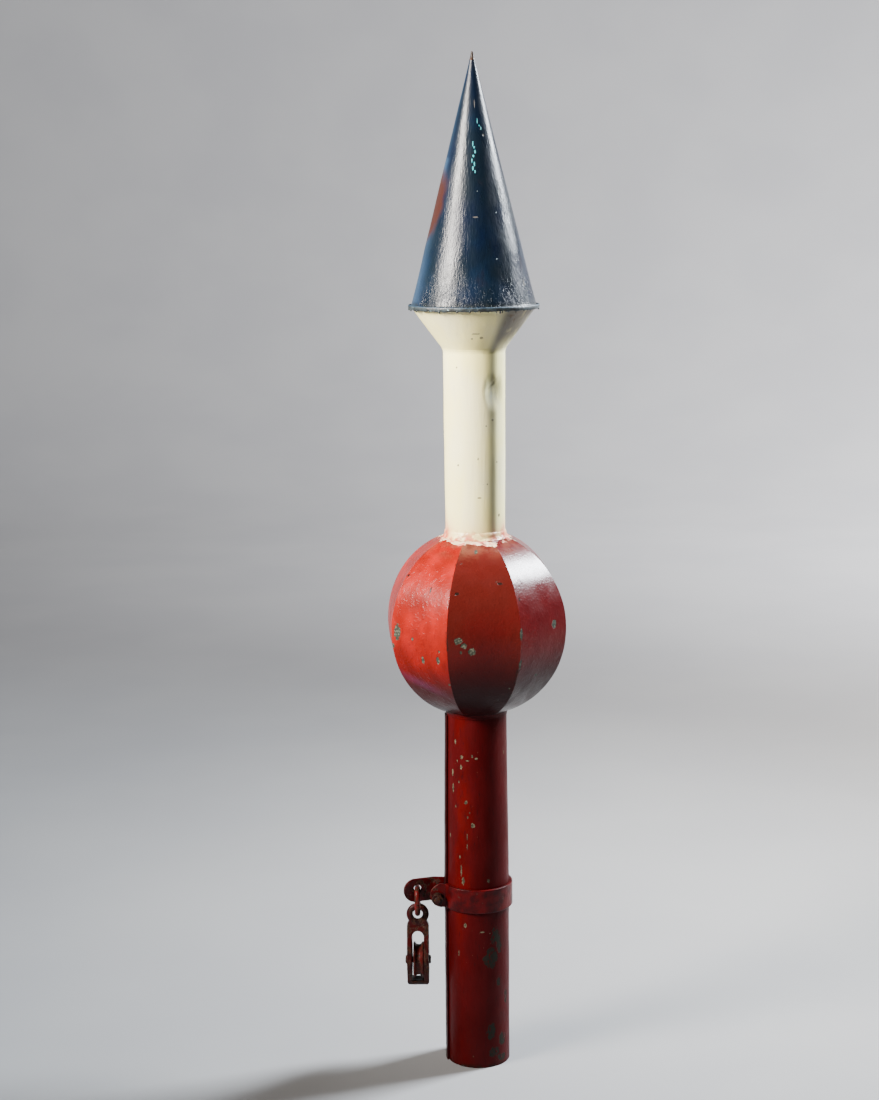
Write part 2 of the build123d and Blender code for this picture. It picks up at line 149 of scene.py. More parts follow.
# %% Finishes as sums
class Value:
    """One socket of a net of nodes. Arithmetic on it adds Math nodes."""

    def __init__(self, net, socket):
        self.net = net
        self.socket = socket

    def math(self, operation, *operands):
        return self.net.node("ShaderNodeMath", {"operation": operation}, dict(enumerate(operands)))[0]

    def __add__(self, other):
        return self.math("ADD", self, other)

    def __sub__(self, other):
        return self.math("SUBTRACT", self, other)

    def __rsub__(self, other):
        return self.math("SUBTRACT", other, self)

    def __mul__(self, other):
        return self.math("MULTIPLY", self, other)

    def __truediv__(self, other):
        return self.math("DIVIDE", self, other)

    def __rtruediv__(self, other):
        return self.math("DIVIDE", other, self)

    def __abs__(self):
        return self.math("ABSOLUTE", self)

    __radd__ = __add__
    __rmul__ = __mul__

    def least(self, other):
        return self.math("MINIMUM", self, other)

    def most(self, other):
        return self.math("MAXIMUM", self, other)

    def rise(self, low, high):
        """0 at low, 1 at high, smooth between; low may be the larger."""
        settings = {"interpolation_type": "SMOOTHSTEP"}
        return self.net.node("ShaderNodeMapRange", settings, {0: self, 1: low, 2: high})[0]

    def near(self, centre, reach):
        """1 at the centre, 0 at this reach from it."""
        return abs(self - centre).rise(reach, 0.0)


class Net:
    """A tree of nodes in the making. Lengths are metres and colours are red, green, blue."""

    def __init__(self, tree):
        self.tree = tree

    def node(self, kind, settings=None, sockets=None):
        """Adds a node: its settings first, then a value or a link for each socket."""
        made = self.tree.nodes.new(kind)
        for name, setting in (settings or {}).items():
            if name == "stops":
                self.set_stops(made.color_ramp, setting)
            else:
                setattr(made, name, setting)
        for name, given in (sockets or {}).items():
            if isinstance(given, Value):
                self.tree.links.new(given.socket, made.inputs[name])
            elif isinstance(given, tuple) and made.inputs[name].type == "RGBA":
                made.inputs[name].default_value = (*given, 1.0)
            else:
                made.inputs[name].default_value = given
        return [Value(self, output) for output in made.outputs]

    @staticmethod
    def set_stops(ramp, stops):
        while len(ramp.elements) < len(stops):
            ramp.elements.new(0.5)
        for element, (position, colour) in zip(ramp.elements, stops):
            element.position = position
            element.color = (*colour, 1.0)

    def vector(self, operation, *operands):
        return self.node("ShaderNodeVectorMath", {"operation": operation}, dict(enumerate(operands)))


class Finish(Net):
    """One material. Its patterns read the piece's own coordinates."""

    def __init__(self, name):
        self.material = bpy.data.materials.new(name)
        self.material.use_nodes = True
        super().__init__(self.material.node_tree)
        self.tree.nodes.clear()
        self.place = self.node("ShaderNodeTexCoord")[3]
        self.x, self.y, self.z = self.node("ShaderNodeSeparateXYZ", {}, {0: self.place})
        self.azimuth = self.x.math("ARCTAN2", self.x, 0.0 - self.y) * math.degrees(1)

    def cloud(self, size, detail=3.0, stretch=(1, 1, 1), offset=0.0, distortion=0.0):
        """Soft random pattern whose lumps are about this size; stretch above 1 lengthens them."""
        scaled = self.vector("MULTIPLY", self.place, tuple(1 / s for s in stretch))[0]
        moved = self.vector("ADD", scaled, (offset, 2 * offset, 3 * offset))[0]
        sockets = {"Vector": moved, "Scale": 1 / size, "Detail": detail, "Distortion": distortion}
        return self.node("ShaderNodeTexNoise", {}, sockets)[0]

    def specks(self, pitch, radius, share, offset=0.0):
        """Round specks on a share of the cells of a random net; 1 inside a speck."""
        moved = self.vector("ADD", self.place, (offset, offset, offset))[0]
        wander = self.node("ShaderNodeTexNoise", {}, {"Vector": moved, "Scale": 3 / pitch, "Detail": 2.0})[1]
        shaken = self.vector("MULTIPLY_ADD", wander, (0.35 * pitch,) * 3, moved)[0]
        cells = self.node("ShaderNodeTexVoronoi", {}, {"Vector": shaken, "Scale": 1 / pitch})
        draw = self.node("ShaderNodeSeparateColor", {}, {0: cells[1]})
        size = draw[1] * 0.8 + 0.2
        chosen = draw[0].rise(1 - share, 1 - 0.9 * share)
        return cells[0].rise(1.15 * radius / pitch, 0.85 * radius / pitch) * chosen * size.rise(0.1, 0.5)

    def patches(self, spots, radius, ragged=0.45, grain=2.5 * mm):
        """Chips at chosen spots on a round piece: (azimuth, height, width, tall) in degrees and millimetres.
        The value is 1 inside a chip and falls to 0 over its broken edge."""
        arc = radius * math.radians(1)
        flat = self.node("ShaderNodeCombineXYZ", {}, {0: self.azimuth * arc, 1: self.z, 2: 0.0})[0]
        nearest = None
        for azimuth, height, width, tall in spots:
            offset = self.vector("SUBTRACT", flat, (azimuth * arc, height * mm, 0.0))[0]
            shaped = self.vector("MULTIPLY", offset, (2 / (width * mm), 2 / (tall * mm), 0.0))[0]
            reach = self.vector("LENGTH", shaped)[1]
            nearest = reach if nearest is None else nearest.least(reach)
        broken = nearest + (self.cloud(grain, 4.0, offset=0.7) - 0.5) * (2 * ragged)
        return broken.rise(1.08, 0.92)

    def mix(self, amount, first, second):
        """first where amount is 0, second where it is 1; colours."""
        return self.node("ShaderNodeMix", {"data_type": "RGBA"}, {0: amount, 6: first, 7: second})[2]

    def coats(self, colour, layers):
        """The colour after each (amount, colour) has been laid over it, in this order."""
        for amount, layer in layers:
            colour = self.mix(amount, colour, layer)
        return colour

    def bump(self, height, depth, below=None):
        """Normal for a height of 0 to 1 that stands this many metres proud, on top of another normal."""
        sockets = {"Strength": 1.0, "Distance": depth, "Height": height}
        if below is not None:
            sockets["Normal"] = below
        return self.node("ShaderNodeBump", {}, sockets)[0]

    def finish(self, colour, roughness, normal, specular=0.5, metallic=0.0, coat=0.0):
        """Ends the net: one surface, with a clear coat where one is asked for."""
        sockets = {"Base Color": colour, "Roughness": roughness, "Metallic": metallic, "Normal": normal}
        sockets |= {"Specular IOR Level": specular, "Coat Weight": coat, "Coat Roughness": 0.2}
        surface = self.node("ShaderNodeBsdfPrincipled", {}, sockets)[0]
        self.node("ShaderNodeOutputMaterial", {}, {"Surface": surface})
        return self.material


def shade(red, green, blue):
    """A colour as a paint card gives it, 0 to 255, turned into the light that it reflects."""
    parts = [part / 255 for part in (red, green, blue)]
    return tuple(((part + 0.055) / 1.055) ** 2.4 if part > 10 / 255 else part / 12.92 for part in parts)


print("finishes are written as sums")

# %% [markdown]
# ## The colours
# Four paints cover the piece: navy on the spire, ivory on the funnel and neck, one red on the ball
# and a deeper one on the socket. Pitch is brushed over the rim, and rust and undercoat show where the
# paint has gone. They are named once here, and each finish names its own tones beside them: worn
# ones, and some that are painted light and shade.

# %% Paint card
navy, navy_faded, turquoise = shade(13, 23, 32), shade(40, 60, 82), shade(58, 158, 166)
ivory, pink = shade(253, 242, 164), shade(214, 120, 106)
signal_red, deep_red = shade(126, 20, 10), shade(60, 4, 5)
tar, green_black, undercoat = shade(26, 30, 30), shade(30, 38, 32), shade(112, 118, 104)
rust, rust_dark, rust_orange = shade(72, 38, 26), shade(38, 24, 20), shade(104, 66, 42)
floor_grey, floor_grey_dark = shade(164, 164, 165), shade(159, 159, 161)
print("ivory reflects", tuple(round(part, 2) for part in ivory))

# %% [markdown]
# ## Ball enamel
# The ball has one red paint on eight bent sheets. Each sheet meets the light at its own angle, and
# that light and shade is painted into the colour: bright on the left, a darker painted shade on the
# front sheet, darker still towards the right. So two masks with crisp edges follow the seams and
# change the tone there. The lower front and the underside are painted darker too, as shade. Within a
# sheet, noise makes it brighter where it was thick and browner where soot lay. The chips are listed,
# as azimuth from the front, height above the foot, width and height, and their outline is broken up
# with noise. The ivory of the neck was brushed too far and laps over the top of the ball.

# %% Ball enamel
gore_total = 8
gore_turn = 360 / gore_total
first_seam = -17.5
ball_middle = 565.95 * mm
ball_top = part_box("ball_gore_1")[1].z
ball_reach = 107 * mm
red_thick, red_front_shade, red_right_shade = shade(158, 26, 20), shade(74, 22, 18), shade(72, 16, 20)
red_sooty, red_lower_front_shade, red_underside_shade = shade(92, 20, 18), shade(60, 10, 12), shade(30, 6, 7)
red_speck, red_scuff = shade(44, 14, 14), shade(70, 14, 14)
crown_brown, mauve = shade(120, 66, 50), shade(96, 44, 78)
ball_bare_dark, ball_bare_pale, cream = shade(50, 54, 46), shade(98, 98, 84), shade(226, 198, 164)
ball_chips = [
    (-58, 567, 9, 19), (-45.6, 562.4, 4, 4), (-38, 538, 5, 9), (-25, 541, 5, 9), (-11, 567, 9, 8),
    (-7.5, 561, 7, 7), (-2.6, 553.5, 8, 9), (0.5, 664, 8, 4), (61, 575, 8, 10), (28, 573, 4, 14),
    (28.2, 536, 4, 13), (49, 514.5, 6, 3), (-18.5, 511, 3, 3), (-9.5, 553, 2.5, 4), (-62, 550, 4, 6),
    (112, 590, 9, 12), (148, 548, 8, 16), (-140, 610, 10, 7), (-104, 540, 6, 11), (171, 505, 12, 7),
]
ball_pits = [(18.5, 631, 7, 2.5), (-35, 622, 2.5, 7), (-13, 621, 5, 3), (30, 613, 2, 4), (-61, 634, 3, 3)]


def ball_enamel():
    """Red enamel for the eight gores."""
    f = Finish("ball_enamel")
    chip = f.patches(ball_chips, ball_reach, 0.7, 3 * mm)
    chip = chip.most(f.specks(14 * mm, 1.6 * mm, 0.10) * 0.9)
    pit = f.patches(ball_pits, ball_reach, 0.5, 1.5 * mm)
    past_seam = f.azimuth + (360 - first_seam)
    seam = past_seam.math("PINGPONG", past_seam, gore_turn / 2).rise(1.6, 0.2)
    worn_seam = seam * f.cloud(9 * mm, 4.0, (1, 1, 2), 1.3).rise(0.56, 0.68)
    soot = f.cloud(60 * mm, 4.0, (1, 1, 0.6), 2.1).rise(0.42, 0.72)
    low = (f.z - ball_middle).rise(0 * mm, -78 * mm)
    crown = (f.z - ball_middle).rise(86 * mm, 104 * mm)
    front_middle, front_half = first_seam + gore_turn / 2, gore_turn / 2
    front = f.azimuth.near(front_middle, 32)
    front_sheet = abs(f.azimuth - front_middle).rise(front_half + 0.2, front_half - 0.2)
    next_seam = front_middle + front_half
    right_sheets = f.azimuth.rise(next_seam - 0.2, next_seam + 0.2) * f.azimuth.rise(130, 100)
    band = (f.z + f.x * 0.35).near(481 * mm, 9 * mm) * f.azimuth.near(-48, 34)
    lap_line = f.z + (f.cloud(13 * mm, 4.0, (1, 1, 1), 5.0) - 0.5) * (13 * mm)
    lap_gaps = f.cloud(20 * mm, 3.0, offset=9.4).rise(0.36, 0.44)
    lap = lap_line.rise(ball_top - 3.4 * mm, ball_top - 2.8 * mm) * lap_gaps

    red = f.mix(f.cloud(26 * mm, 5.0, (1, 1, 1.6), 0.4).rise(0.35, 0.7), signal_red, red_thick)
    bare = f.mix(f.cloud(3 * mm, 3.0, offset=4.4).rise(0.45, 0.7), ball_bare_dark, ball_bare_pale)
    ivory_lap = f.mix(f.cloud(9 * mm, 3.0, offset=6.0).rise(0.5, 0.62), cream, pink)
    colour = f.coats(red, [
        # painted shade: the front sheet and the sheets right of it are darker, as the light falls on them
        (front_sheet * 0.95, red_front_shade),
        (right_sheets * 0.9, red_right_shade),
        (soot * 0.45, red_sooty),
        # painted shade: the front of the ball darkens downwards
        (front * (f.z - ball_middle).rise(60 * mm, -20 * mm) * 0.6, red_lower_front_shade),
        # painted shade: darker towards the bottom of the ball
        (low * 0.9, red_underside_shade),
        (crown * f.cloud(14 * mm, 4.0, offset=3.3).rise(0.35, 0.65) * 0.6, crown_brown),
        (band * 0.35, mauve),
        (worn_seam * 0.8, rust_dark),
        (f.specks(6 * mm, 0.45 * mm, 0.35, 0.9) * 0.6, red_speck),
        (f.cloud(2.2 * mm, 3.0, (1, 1, 6), 9.1).rise(0.62, 0.72) * 0.35, red_scuff),
        (chip, bare),
        (pit, rust_dark),
        (lap, ivory_lap),
    ])

    roughness = 0.24 + f.cloud(20 * mm, 4.0, offset=1.9).rise(0.3, 0.75) * 0.16 + chip * 0.4 + low * 0.06
    brush = f.cloud(1.6 * mm, 2.0, (1, 1, 16), 0.2)
    peel = f.cloud(2.4 * mm, 2.0, offset=0.9)
    blister = f.cloud(5 * mm, 3.0, offset=7.0).rise(0.5, 0.7) * (f.azimuth.near(-45, 32) * 0.7 + 0.3)
    coat_depth = chip.most(pit) * -1.0 + lap * 0.8 + worn_seam * -0.5
    normal = f.bump(brush * 0.5 + peel, 0.2 * mm)
    normal = f.bump(blister + f.cloud(11 * mm, 3.0, offset=8.2), 0.3 * mm, normal)
    normal = f.bump(coat_depth, 0.45 * mm, normal)
    gloss = (f.z - ball_middle).rise(-45 * mm, 25 * mm) * (1 - chip) * 0.4
    return f.finish(colour, roughness, normal, specular=0.1, coat=gloss)


ball_finish = ball_enamel()
print("ball enamel:", len(ball_finish.node_tree.nodes), "nodes,", len(ball_chips), "chips")

# %% [markdown]
# ## Spire enamel
# The spire is blue-black, laid on with a brush from the tip down, so its fine ridges run along the
# slope. One side has weathered to a chalky blue, with a ragged rust-brown stain, and a few flecks of
# an earlier turquoise coat show near the tip.

# %% Spire enamel
rim_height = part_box("funnel")[1].z
tip_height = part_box("spire_cone")[1].z
navy_thick, navy_bright, stain_brown = shade(8, 18, 38), shade(14, 36, 60), shade(54, 30, 26)
dust_grey, scar_grey = shade(150, 164, 168), shade(96, 92, 88)
spire_flecks = [
    (15, 1168, 1.4, 6), (20, 1163, 2, 2), (25, 1160, 1.2, 4), (0, 1142, 1.4, 6), (3, 1138, 1.6, 3),
    (5, 1133, 1.8, 4), (1, 1128, 2, 3), (-2, 1123, 1.2, 5), (3, 1119, 1.4, 5), (0, 1114, 1.6, 5),
    (4, 1110, 1.2, 4),
]
spire_scars = [(3, 1058, 5, 1.5), (8, 1188, 3, 9), (30, 1152, 4, 3), (60, 981, 2, 9), (-22, 1110, 2, 3)]


def spire_enamel():
    """Blue-black enamel for the spire."""
    f = Finish("spire_enamel")
    fleck = f.patches(spire_flecks, 31 * mm, 0.6, 1.4 * mm)
    scar = f.patches(spire_scars, 45 * mm, 0.5, 1.5 * mm)
    speck = f.specks(11 * mm, 0.7 * mm, 0.22, 0.3)
    left = f.azimuth.near(-100, 62).rise(0.1, 0.75)
    chalk_top = f.z.rise(1128 * mm, 1124 * mm) * f.z.rise(1000 * mm, 1108 * mm)
    chalk = left * (0.4 + f.z.rise(1040 * mm, 975 * mm) * 0.6 + chalk_top * 0.8)
    ragged = (f.cloud(24 * mm, 5.0, (1, 1, 1.5), 2.0) - 0.5) * 0.9
    stain = (f.azimuth.near(-90, 58) * f.z.near(1072 * mm, 62 * mm) + ragged).rise(0.12, 0.5)
    foot = f.z.rise(1010 * mm, 955 * mm)
    thick = f.cloud(34 * mm, 4.0, (1, 1, 2.5), 0.6).rise(0.35, 0.72)
    near_rim = f.z.rise(rim_height + 9 * mm, rim_height + 2 * mm)
    grime = near_rim * f.cloud(6 * mm, 3.0, offset=8.0).rise(0.35, 0.6)

    colour = f.coats(f.mix(thick, navy, navy_thick), [
        (f.cloud(50 * mm, 5.0, (1, 1, 1), 3.0).rise(0.5, 0.75) * 0.4, navy_bright),
        (chalk * (0.5 + f.cloud(4 * mm, 3.0, (1, 1, 5), 4.0)), navy_faded),
        (stain, stain_brown),
        (speck * 0.8, dust_grey),
        (fleck, turquoise),
        (scar * 0.8, scar_grey),
        (grime * 0.8, tar),
    ])

    drag = f.cloud(16 * mm, 4.0, (1, 1, 3), 5.0).rise(0.3, 0.75)
    roughness = 0.23 + drag * 0.14 + fleck * 0.2 + chalk * 0.15
    brush = f.cloud(1.8 * mm, 3.0, (1, 1, 14), 0.2)
    grain = f.cloud(2.2 * mm, 3.0, (1, 1, 2.5), 0.9)
    craze = f.cloud(4 * mm, 4.0, (1, 1, 2), 7.0, 1.5).near(0.5, 0.05) * foot
    normal = f.bump(brush + grain * 0.6, 0.26 * mm)
    normal = f.bump(f.cloud(9 * mm, 3.0, (1, 1, 4), 6.5), 0.4 * mm, normal)
    normal = f.bump(craze * -0.4 + fleck * -0.8 + scar * -1.0 + speck * 0.8, 0.2 * mm, normal)
    return f.finish(colour, roughness, normal, specular=0.2)


spire_finish = spire_enamel()
print("spire enamel:", len(spire_finish.node_tree.nodes), "nodes")

# %% [markdown]
# ## Ivory paint
# The funnel and neck share one ivory. It is a thick oil paint with soft brush ridges and a few dark
# specks of dirt caught in it. Red from the ball has bled up the foot of the neck. Under the rim the
# ivory is darker, partly grime and partly painted shade. Down one side runs a painted shade, the dark
# stripe that the gap between the panels leaves, and the paint is greyer over the dent.

# %% Ivory paint
ivory_pale, ivory_dull = shade(248, 240, 186), shade(206, 198, 166)
olive_stripe_shade, grime_and_shade_brown, dent_patch_grey = shade(122, 116, 86), shade(88, 78, 60), shade(140, 142, 128)
bled_pink, bled_red = shade(214, 104, 84), shade(186, 52, 40)
dirt_brown, scar_brown = shade(84, 74, 60), shade(120, 104, 84)
ivory_specks = [
    (-33, 765, 2.6, 2.6), (6, 773, 1.6, 3), (10, 918, 3, 3), (2, 923, 7, 1.6), (-3, 917, 2, 2),
    (22, 812, 2, 2), (36, 819, 3, 3), (-34, 882, 2, 2), (52, 703, 3.5, 3.5), (8, 726, 5, 2),
    (24, 742, 2, 2), (46, 768, 2, 2), (120, 800, 4, 3), (170, 733, 3, 5), (-120, 850, 3, 3),
]
rim_scars = [(40, 944, 7, 4), (46, 938, 3, 5), (36, 934, 2, 7), (150, 940, 9, 4), (-130, 936, 6, 5)]


def ivory_paint():
    """Ivory oil paint for the funnel, the neck and the solder at both its ends."""
    f = Finish("ivory_paint")
    speck = f.patches(ivory_specks, 37 * mm, 0.4, 1 * mm).most(f.specks(17 * mm, 0.6 * mm, 0.3))
    scar = f.patches(rim_scars, 66 * mm, 0.55, 2 * mm)
    # painted shade: the dark stripe that the gap between the panels leaves down the neck
    dark_stripe_shade = f.azimuth.near(36, 15) * f.cloud(30 * mm, 4.0, (1, 1, 5), 1.2).rise(0.1, 0.6)
    # under the rim: grime, and painted shade where the funnel faces down and away from the light
    rim_grime_and_shade = f.z.rise(896 * mm, 925 * mm) * f.azimuth.near(62, 48).rise(0.1, 0.6)
    # greyer over the dent, high on the right
    dent_cloud = f.cloud(10 * mm, 4.0, (1, 1, 2), 3.0).rise(0.4, 0.65)
    dent_patch = f.azimuth.near(40, 24) * f.z.near(850 * mm, 30 * mm) * dent_cloud
    bleed_height = f.z + (f.cloud(26 * mm, 4.0, (1, 1, 2.2), 5.0) - 0.5) * (46 * mm)
    side = (f.azimuth.near(-78, 46) + f.azimuth.near(78, 46)) * 0.75 + 0.25
    bleed = bleed_height.rise(ball_top + 36 * mm, ball_top - 6 * mm) * side
    smear = bleed_height.rise(ball_top + 18 * mm, ball_top - 2 * mm)
    smear = smear * f.cloud(9 * mm, 3.0, offset=9.0).rise(0.42, 0.55)

    cream_coat = f.mix(f.cloud(40 * mm, 4.0, (1, 1, 2), 0.1).rise(0.35, 0.7), ivory, ivory_pale)
    colour = f.coats(cream_coat, [
        (f.cloud(12 * mm, 4.0, (1, 1, 5), 2.4).rise(0.55, 0.8) * 0.35, ivory_dull),
        (dark_stripe_shade * 0.95, olive_stripe_shade),
        (rim_grime_and_shade * f.cloud(16 * mm, 4.0, offset=4.6).rise(0.0, 0.5) * 0.95, grime_and_shade_brown),
        (dent_patch * 0.8, dent_patch_grey),
        (bleed * 0.9, bled_pink),
        (smear * 0.9, bled_red),
        (speck * 0.75, dirt_brown),
        (scar * 0.7, scar_brown),
    ])

    roughness = 0.34 + f.cloud(18 * mm, 4.0, offset=6.1).rise(0.3, 0.75) * 0.14 + scar * 0.3
    brush = f.cloud(1.5 * mm, 3.0, (1, 1, 12), 0.2)
    ridge = f.cloud(7 * mm, 2.0, (1, 1, 9), 0.8)
    normal = f.bump(brush, 0.14 * mm)
    normal = f.bump(ridge, 0.3 * mm, normal)
    normal = f.bump(speck * 0.8 + scar * -1.0 + smear * 0.6, 0.3 * mm, normal)
    return f.finish(colour, roughness, normal)


ivory_finish = ivory_paint()
print("ivory paint:", len(ivory_finish.node_tree.nodes), "nodes")

# %% [markdown]
# ## Socket enamel
# The long socket took the knocks. Its deep red is chipped to the undercoat in a ragged column down
# the front, and green-black patches near the foot show where an older coat or pitch comes through.
# The free edge of the lap, on the left, is painted near black.

# %% Socket enamel
deep_red_thick, deep_red_lit, deep_red_sooty = shade(68, 8, 10), shade(104, 7, 6), shade(54, 6, 8)
deep_red_right_shade, deep_red_scuff, lap_black = shade(52, 24, 24), shade(40, 8, 10), shade(24, 14, 14)
socket_bare_dark, socket_bare_pale, dust_brown = shade(56, 54, 44), shade(98, 90, 72), shade(110, 70, 56)
socket_chips = [
    (-45, 422, 2.6, 6), (-30, 404, 4, 5), (-31, 391, 3, 5), (-9, 406, 2, 4), (-18, 400, 5, 1.6),
    (-1, 403, 4, 3), (-52, 382, 3, 9), (-51, 362, 3, 12), (-21, 347, 4, 5), (-18, 328, 2, 3),
    (-8, 318, 5, 6), (-19, 303, 1.2, 8), (-19, 290, 1.2, 9), (-34, 276, 2, 5), (-31, 259, 2, 14),
    (-27, 246, 4, 9), (-24, 188, 3.5, 6), (8, 180, 5, 2), (-38, 150, 1.4, 8), (-60, 300, 2, 6),
    (20, 246, 3, 5), (66, 405, 1.4, 5), (-36, 372, 1.6, 3), (-44, 340, 2, 3), (-14, 334, 1.4, 2),
    (-40, 398, 1.4, 3), (120, 330, 7, 11), (160, 120, 9, 7),
]
socket_patches = [
    (34, 172, 13, 22), (26, 146, 15, 26), (15, 143, 9, 13), (42, 158, 8, 16), (24, 48, 12, 20),
    (50, 34, 12, 16), (30, 20, 16, 12), (48, 10, 14, 9), (60, 90, 6, 20), (40, 112, 6, 10),
    (140, 80, 26, 30), (-150, 200, 20, 34),
]


def socket_enamel():
    """Deep red enamel for the mast socket and the solder above it."""
    f = Finish("socket_enamel")
    skin_radius = 39 * mm
    chip = f.patches(socket_chips, skin_radius, 0.85, 1.6 * mm)
    chip = chip.most(f.specks(11 * mm, 0.8 * mm, 0.12, 0.5))
    dark = f.patches(socket_patches, skin_radius, 0.9, 5 * mm)
    dark = dark * f.cloud(4 * mm, 4.0, (1, 1, 1.6), 8.3).rise(0.34, 0.5)
    lap_edge = f.azimuth.near(-90, 20).rise(0.0, 0.12)
    # painted shade: the right side of the socket, darker towards the foot
    right = f.azimuth.near(62, 55) * f.z.rise(330 * mm, 120 * mm)
    # painted highlight: a brighter red band down the left front, where the key light falls
    lit = f.azimuth.near(-30, 34) * (0.45 + 0.55 * f.z.near(300 * mm, 200 * mm))
    soot = f.cloud(45 * mm, 5.0, (1, 1, 2.2), 0.5).rise(0.4, 0.75)
    edge = f.z.rise(6 * mm, 1 * mm)

    red = f.mix(f.cloud(22 * mm, 5.0, (1, 1, 2), 0.4).rise(0.35, 0.7), deep_red, deep_red_thick)
    bare = f.mix(f.cloud(3 * mm, 3.0, offset=4.4).rise(0.4, 0.6), socket_bare_dark, socket_bare_pale)
    colour = f.coats(red, [
        (lit * f.cloud(28 * mm, 4.0, (1, 1, 3), 3.6).rise(0.35, 0.65) * 0.6, deep_red_lit),
        (soot * 0.5, deep_red_sooty),
        (right * f.cloud(18 * mm, 4.0, (1, 1, 2), 6.6).rise(0.45, 0.7) * 0.6, deep_red_right_shade),
        (f.specks(7 * mm, 0.5 * mm, 0.35, 0.9) * 0.6, dust_brown),
        (f.cloud(2.4 * mm, 3.0, (1, 1, 5), 9.1).rise(0.6, 0.7) * 0.5, deep_red_scuff),
        (dark * 0.85, green_black),
        (chip, bare),
        (lap_edge * 0.9, lap_black),
        (edge * f.cloud(7 * mm, 3.0, offset=2.2).rise(0.4, 0.6), rust_dark),
    ])

    roughness = 0.36 + f.cloud(15 * mm, 4.0, (1, 1, 2), 1.9).rise(0.3, 0.75) * 0.16 + chip * 0.3 + dark * 0.12
    brush = f.cloud(1.6 * mm, 3.0, (1, 1, 14), 0.2)
    lumps = f.cloud(6 * mm, 4.0, (1, 1, 1.6), 0.9)
    normal = f.bump(brush * 0.5 + f.cloud(2.2 * mm, 2.0, offset=0.4), 0.14 * mm)
    normal = f.bump(lumps, 0.3 * mm, normal)
    normal = f.bump(chip * -1.0 + dark * -0.4, 0.4 * mm, normal)
    return f.finish(colour, roughness, normal, specular=0.06)


socket_finish = socket_enamel()
print("socket enamel:", len(socket_finish.node_tree.nodes), "nodes,", len(socket_chips), "chips")

# %% [markdown]
# ## Iron finishes
# The strap, the link and the block are iron under the same red paint, worn to rust where they rub or
# hold water. One function serves them all: it takes the paint, how much of it is left, and how large
# the worn spots are. Bare iron is the same function with almost no paint left.

# %% Painted iron, tar and the tip
def painted_iron(name, paint, dark_paint, left, spot, roughness, bare_beyond=None):
    """Iron with a share of its paint left, worn in spots of this size, and mostly bare beyond this X."""
    f = Finish(name)
    wear = f.cloud(spot, 5.0, offset=0.3)
    if bare_beyond is not None:
        wear = wear + f.x.rise(bare_beyond + 14 * mm, bare_beyond - 4 * mm) * 0.14
    worn = wear.rise(left, left + 0.06)
    crust = f.cloud(0.35 * spot, 5.0, offset=1.7)
    metal = f.mix(crust.rise(0.35, 0.65), rust_dark, rust)
    metal = f.mix(f.specks(0.8 * spot, 0.12 * spot, 0.4), metal, rust_orange)
    skin = f.mix(f.cloud(1.6 * spot, 4.0, offset=2.9).rise(0.35, 0.7), paint, dark_paint)
    colour = f.mix(worn, skin, metal)
    colour = f.mix(wear.near(left + 0.03, 0.02) * 0.2, colour, undercoat)
    rough = roughness + worn * 0.3 - crust * 0.1
    pitting = f.cloud(0.16 * spot, 4.0, offset=5.0)
    normal = f.bump(crust * worn + pitting * 0.4, 0.28 * mm)
    normal = f.bump(worn * -1.0, 0.18 * mm, normal)
    return f.finish(colour, rough, normal, specular=0.14, metallic=worn * 0.25)


def tarred_rim():
    """Pitch brushed over the folded rim, with flecks of the pale paint caught in it."""
    f = Finish("tarred_rim")
    tar_dusty, tar_blue, fleck_blue = shade(52, 62, 66), shade(36, 62, 84), shade(150, 186, 190)
    colour = f.coats(tar, [
        (f.cloud(8 * mm, 4.0).rise(0.35, 0.7), tar_dusty),
        (f.z.rise(rim_height + 0.5 * mm, rim_height + 2 * mm) * 0.6, tar_blue),
        (f.specks(7 * mm, 0.9 * mm, 0.28) * 0.8, fleck_blue),
    ])
    normal = f.bump(f.cloud(2.5 * mm, 4.0, offset=0.6), 0.4 * mm)
    return f.finish(colour, 0.38 + f.cloud(5 * mm, 3.0) * 0.2, normal)


strap_red, strap_red_dark, bolt_brown = shade(76, 5, 7), shade(46, 5, 7), shade(44, 13, 12)
link_red, link_red_dark = shade(104, 22, 20), shade(62, 14, 14)
block_red, block_red_dark = shade(66, 12, 12), shade(34, 12, 12)
sheave_red, sheave_red_dark = shade(84, 20, 18), shade(48, 16, 14)
axle_brown, point_brown = shade(60, 22, 20), shade(44, 34, 28)
strap_finish = painted_iron("strap_paint", strap_red, strap_red_dark, 0.68, 7 * mm, 0.42, -50 * mm)
bolt_finish = painted_iron("rusted_iron", bolt_brown, rust_dark, 0.5, 6 * mm, 0.55)
link_finish = painted_iron("link_paint", link_red, link_red_dark, 0.5, 6 * mm, 0.4)
block_finish = painted_iron("block_paint", block_red, block_red_dark, 0.5, 8 * mm, 0.42)
sheave_finish = painted_iron("sheave_iron", sheave_red, sheave_red_dark, 0.52, 5 * mm, 0.36)
axle_finish = painted_iron("axle_iron", axle_brown, rust_dark, 0.42, 4 * mm, 0.5)
point_finish = painted_iron("bare_point", point_brown, rust_dark, 0.6, 3 * mm, 0.45)
rim_finish = tarred_rim()

f = Finish("studio_floor")
floor_tone = f.mix(f.cloud(400 * mm).rise(0.3, 0.7), floor_grey, floor_grey_dark)
floor_finish = f.finish(floor_tone, 0.75, f.bump(f.cloud(1 * mm), 0.02 * mm))
studio_floor.data.materials.append(floor_finish)
print("iron, tar and floor finishes")

# %% [markdown]
# ## Round sheet-metal shells
# Spire, funnel, neck and rim are all outlines turned about the mast's axis. A Screw modifier could
# turn them, but it gives perfect rounds. Here the rings are made in code, so each point can be
# pushed a little as it is placed: that is what makes the sheet look rolled and hammered by hand. The
# outline is closed, outside and inside, so every shell has a real wall.

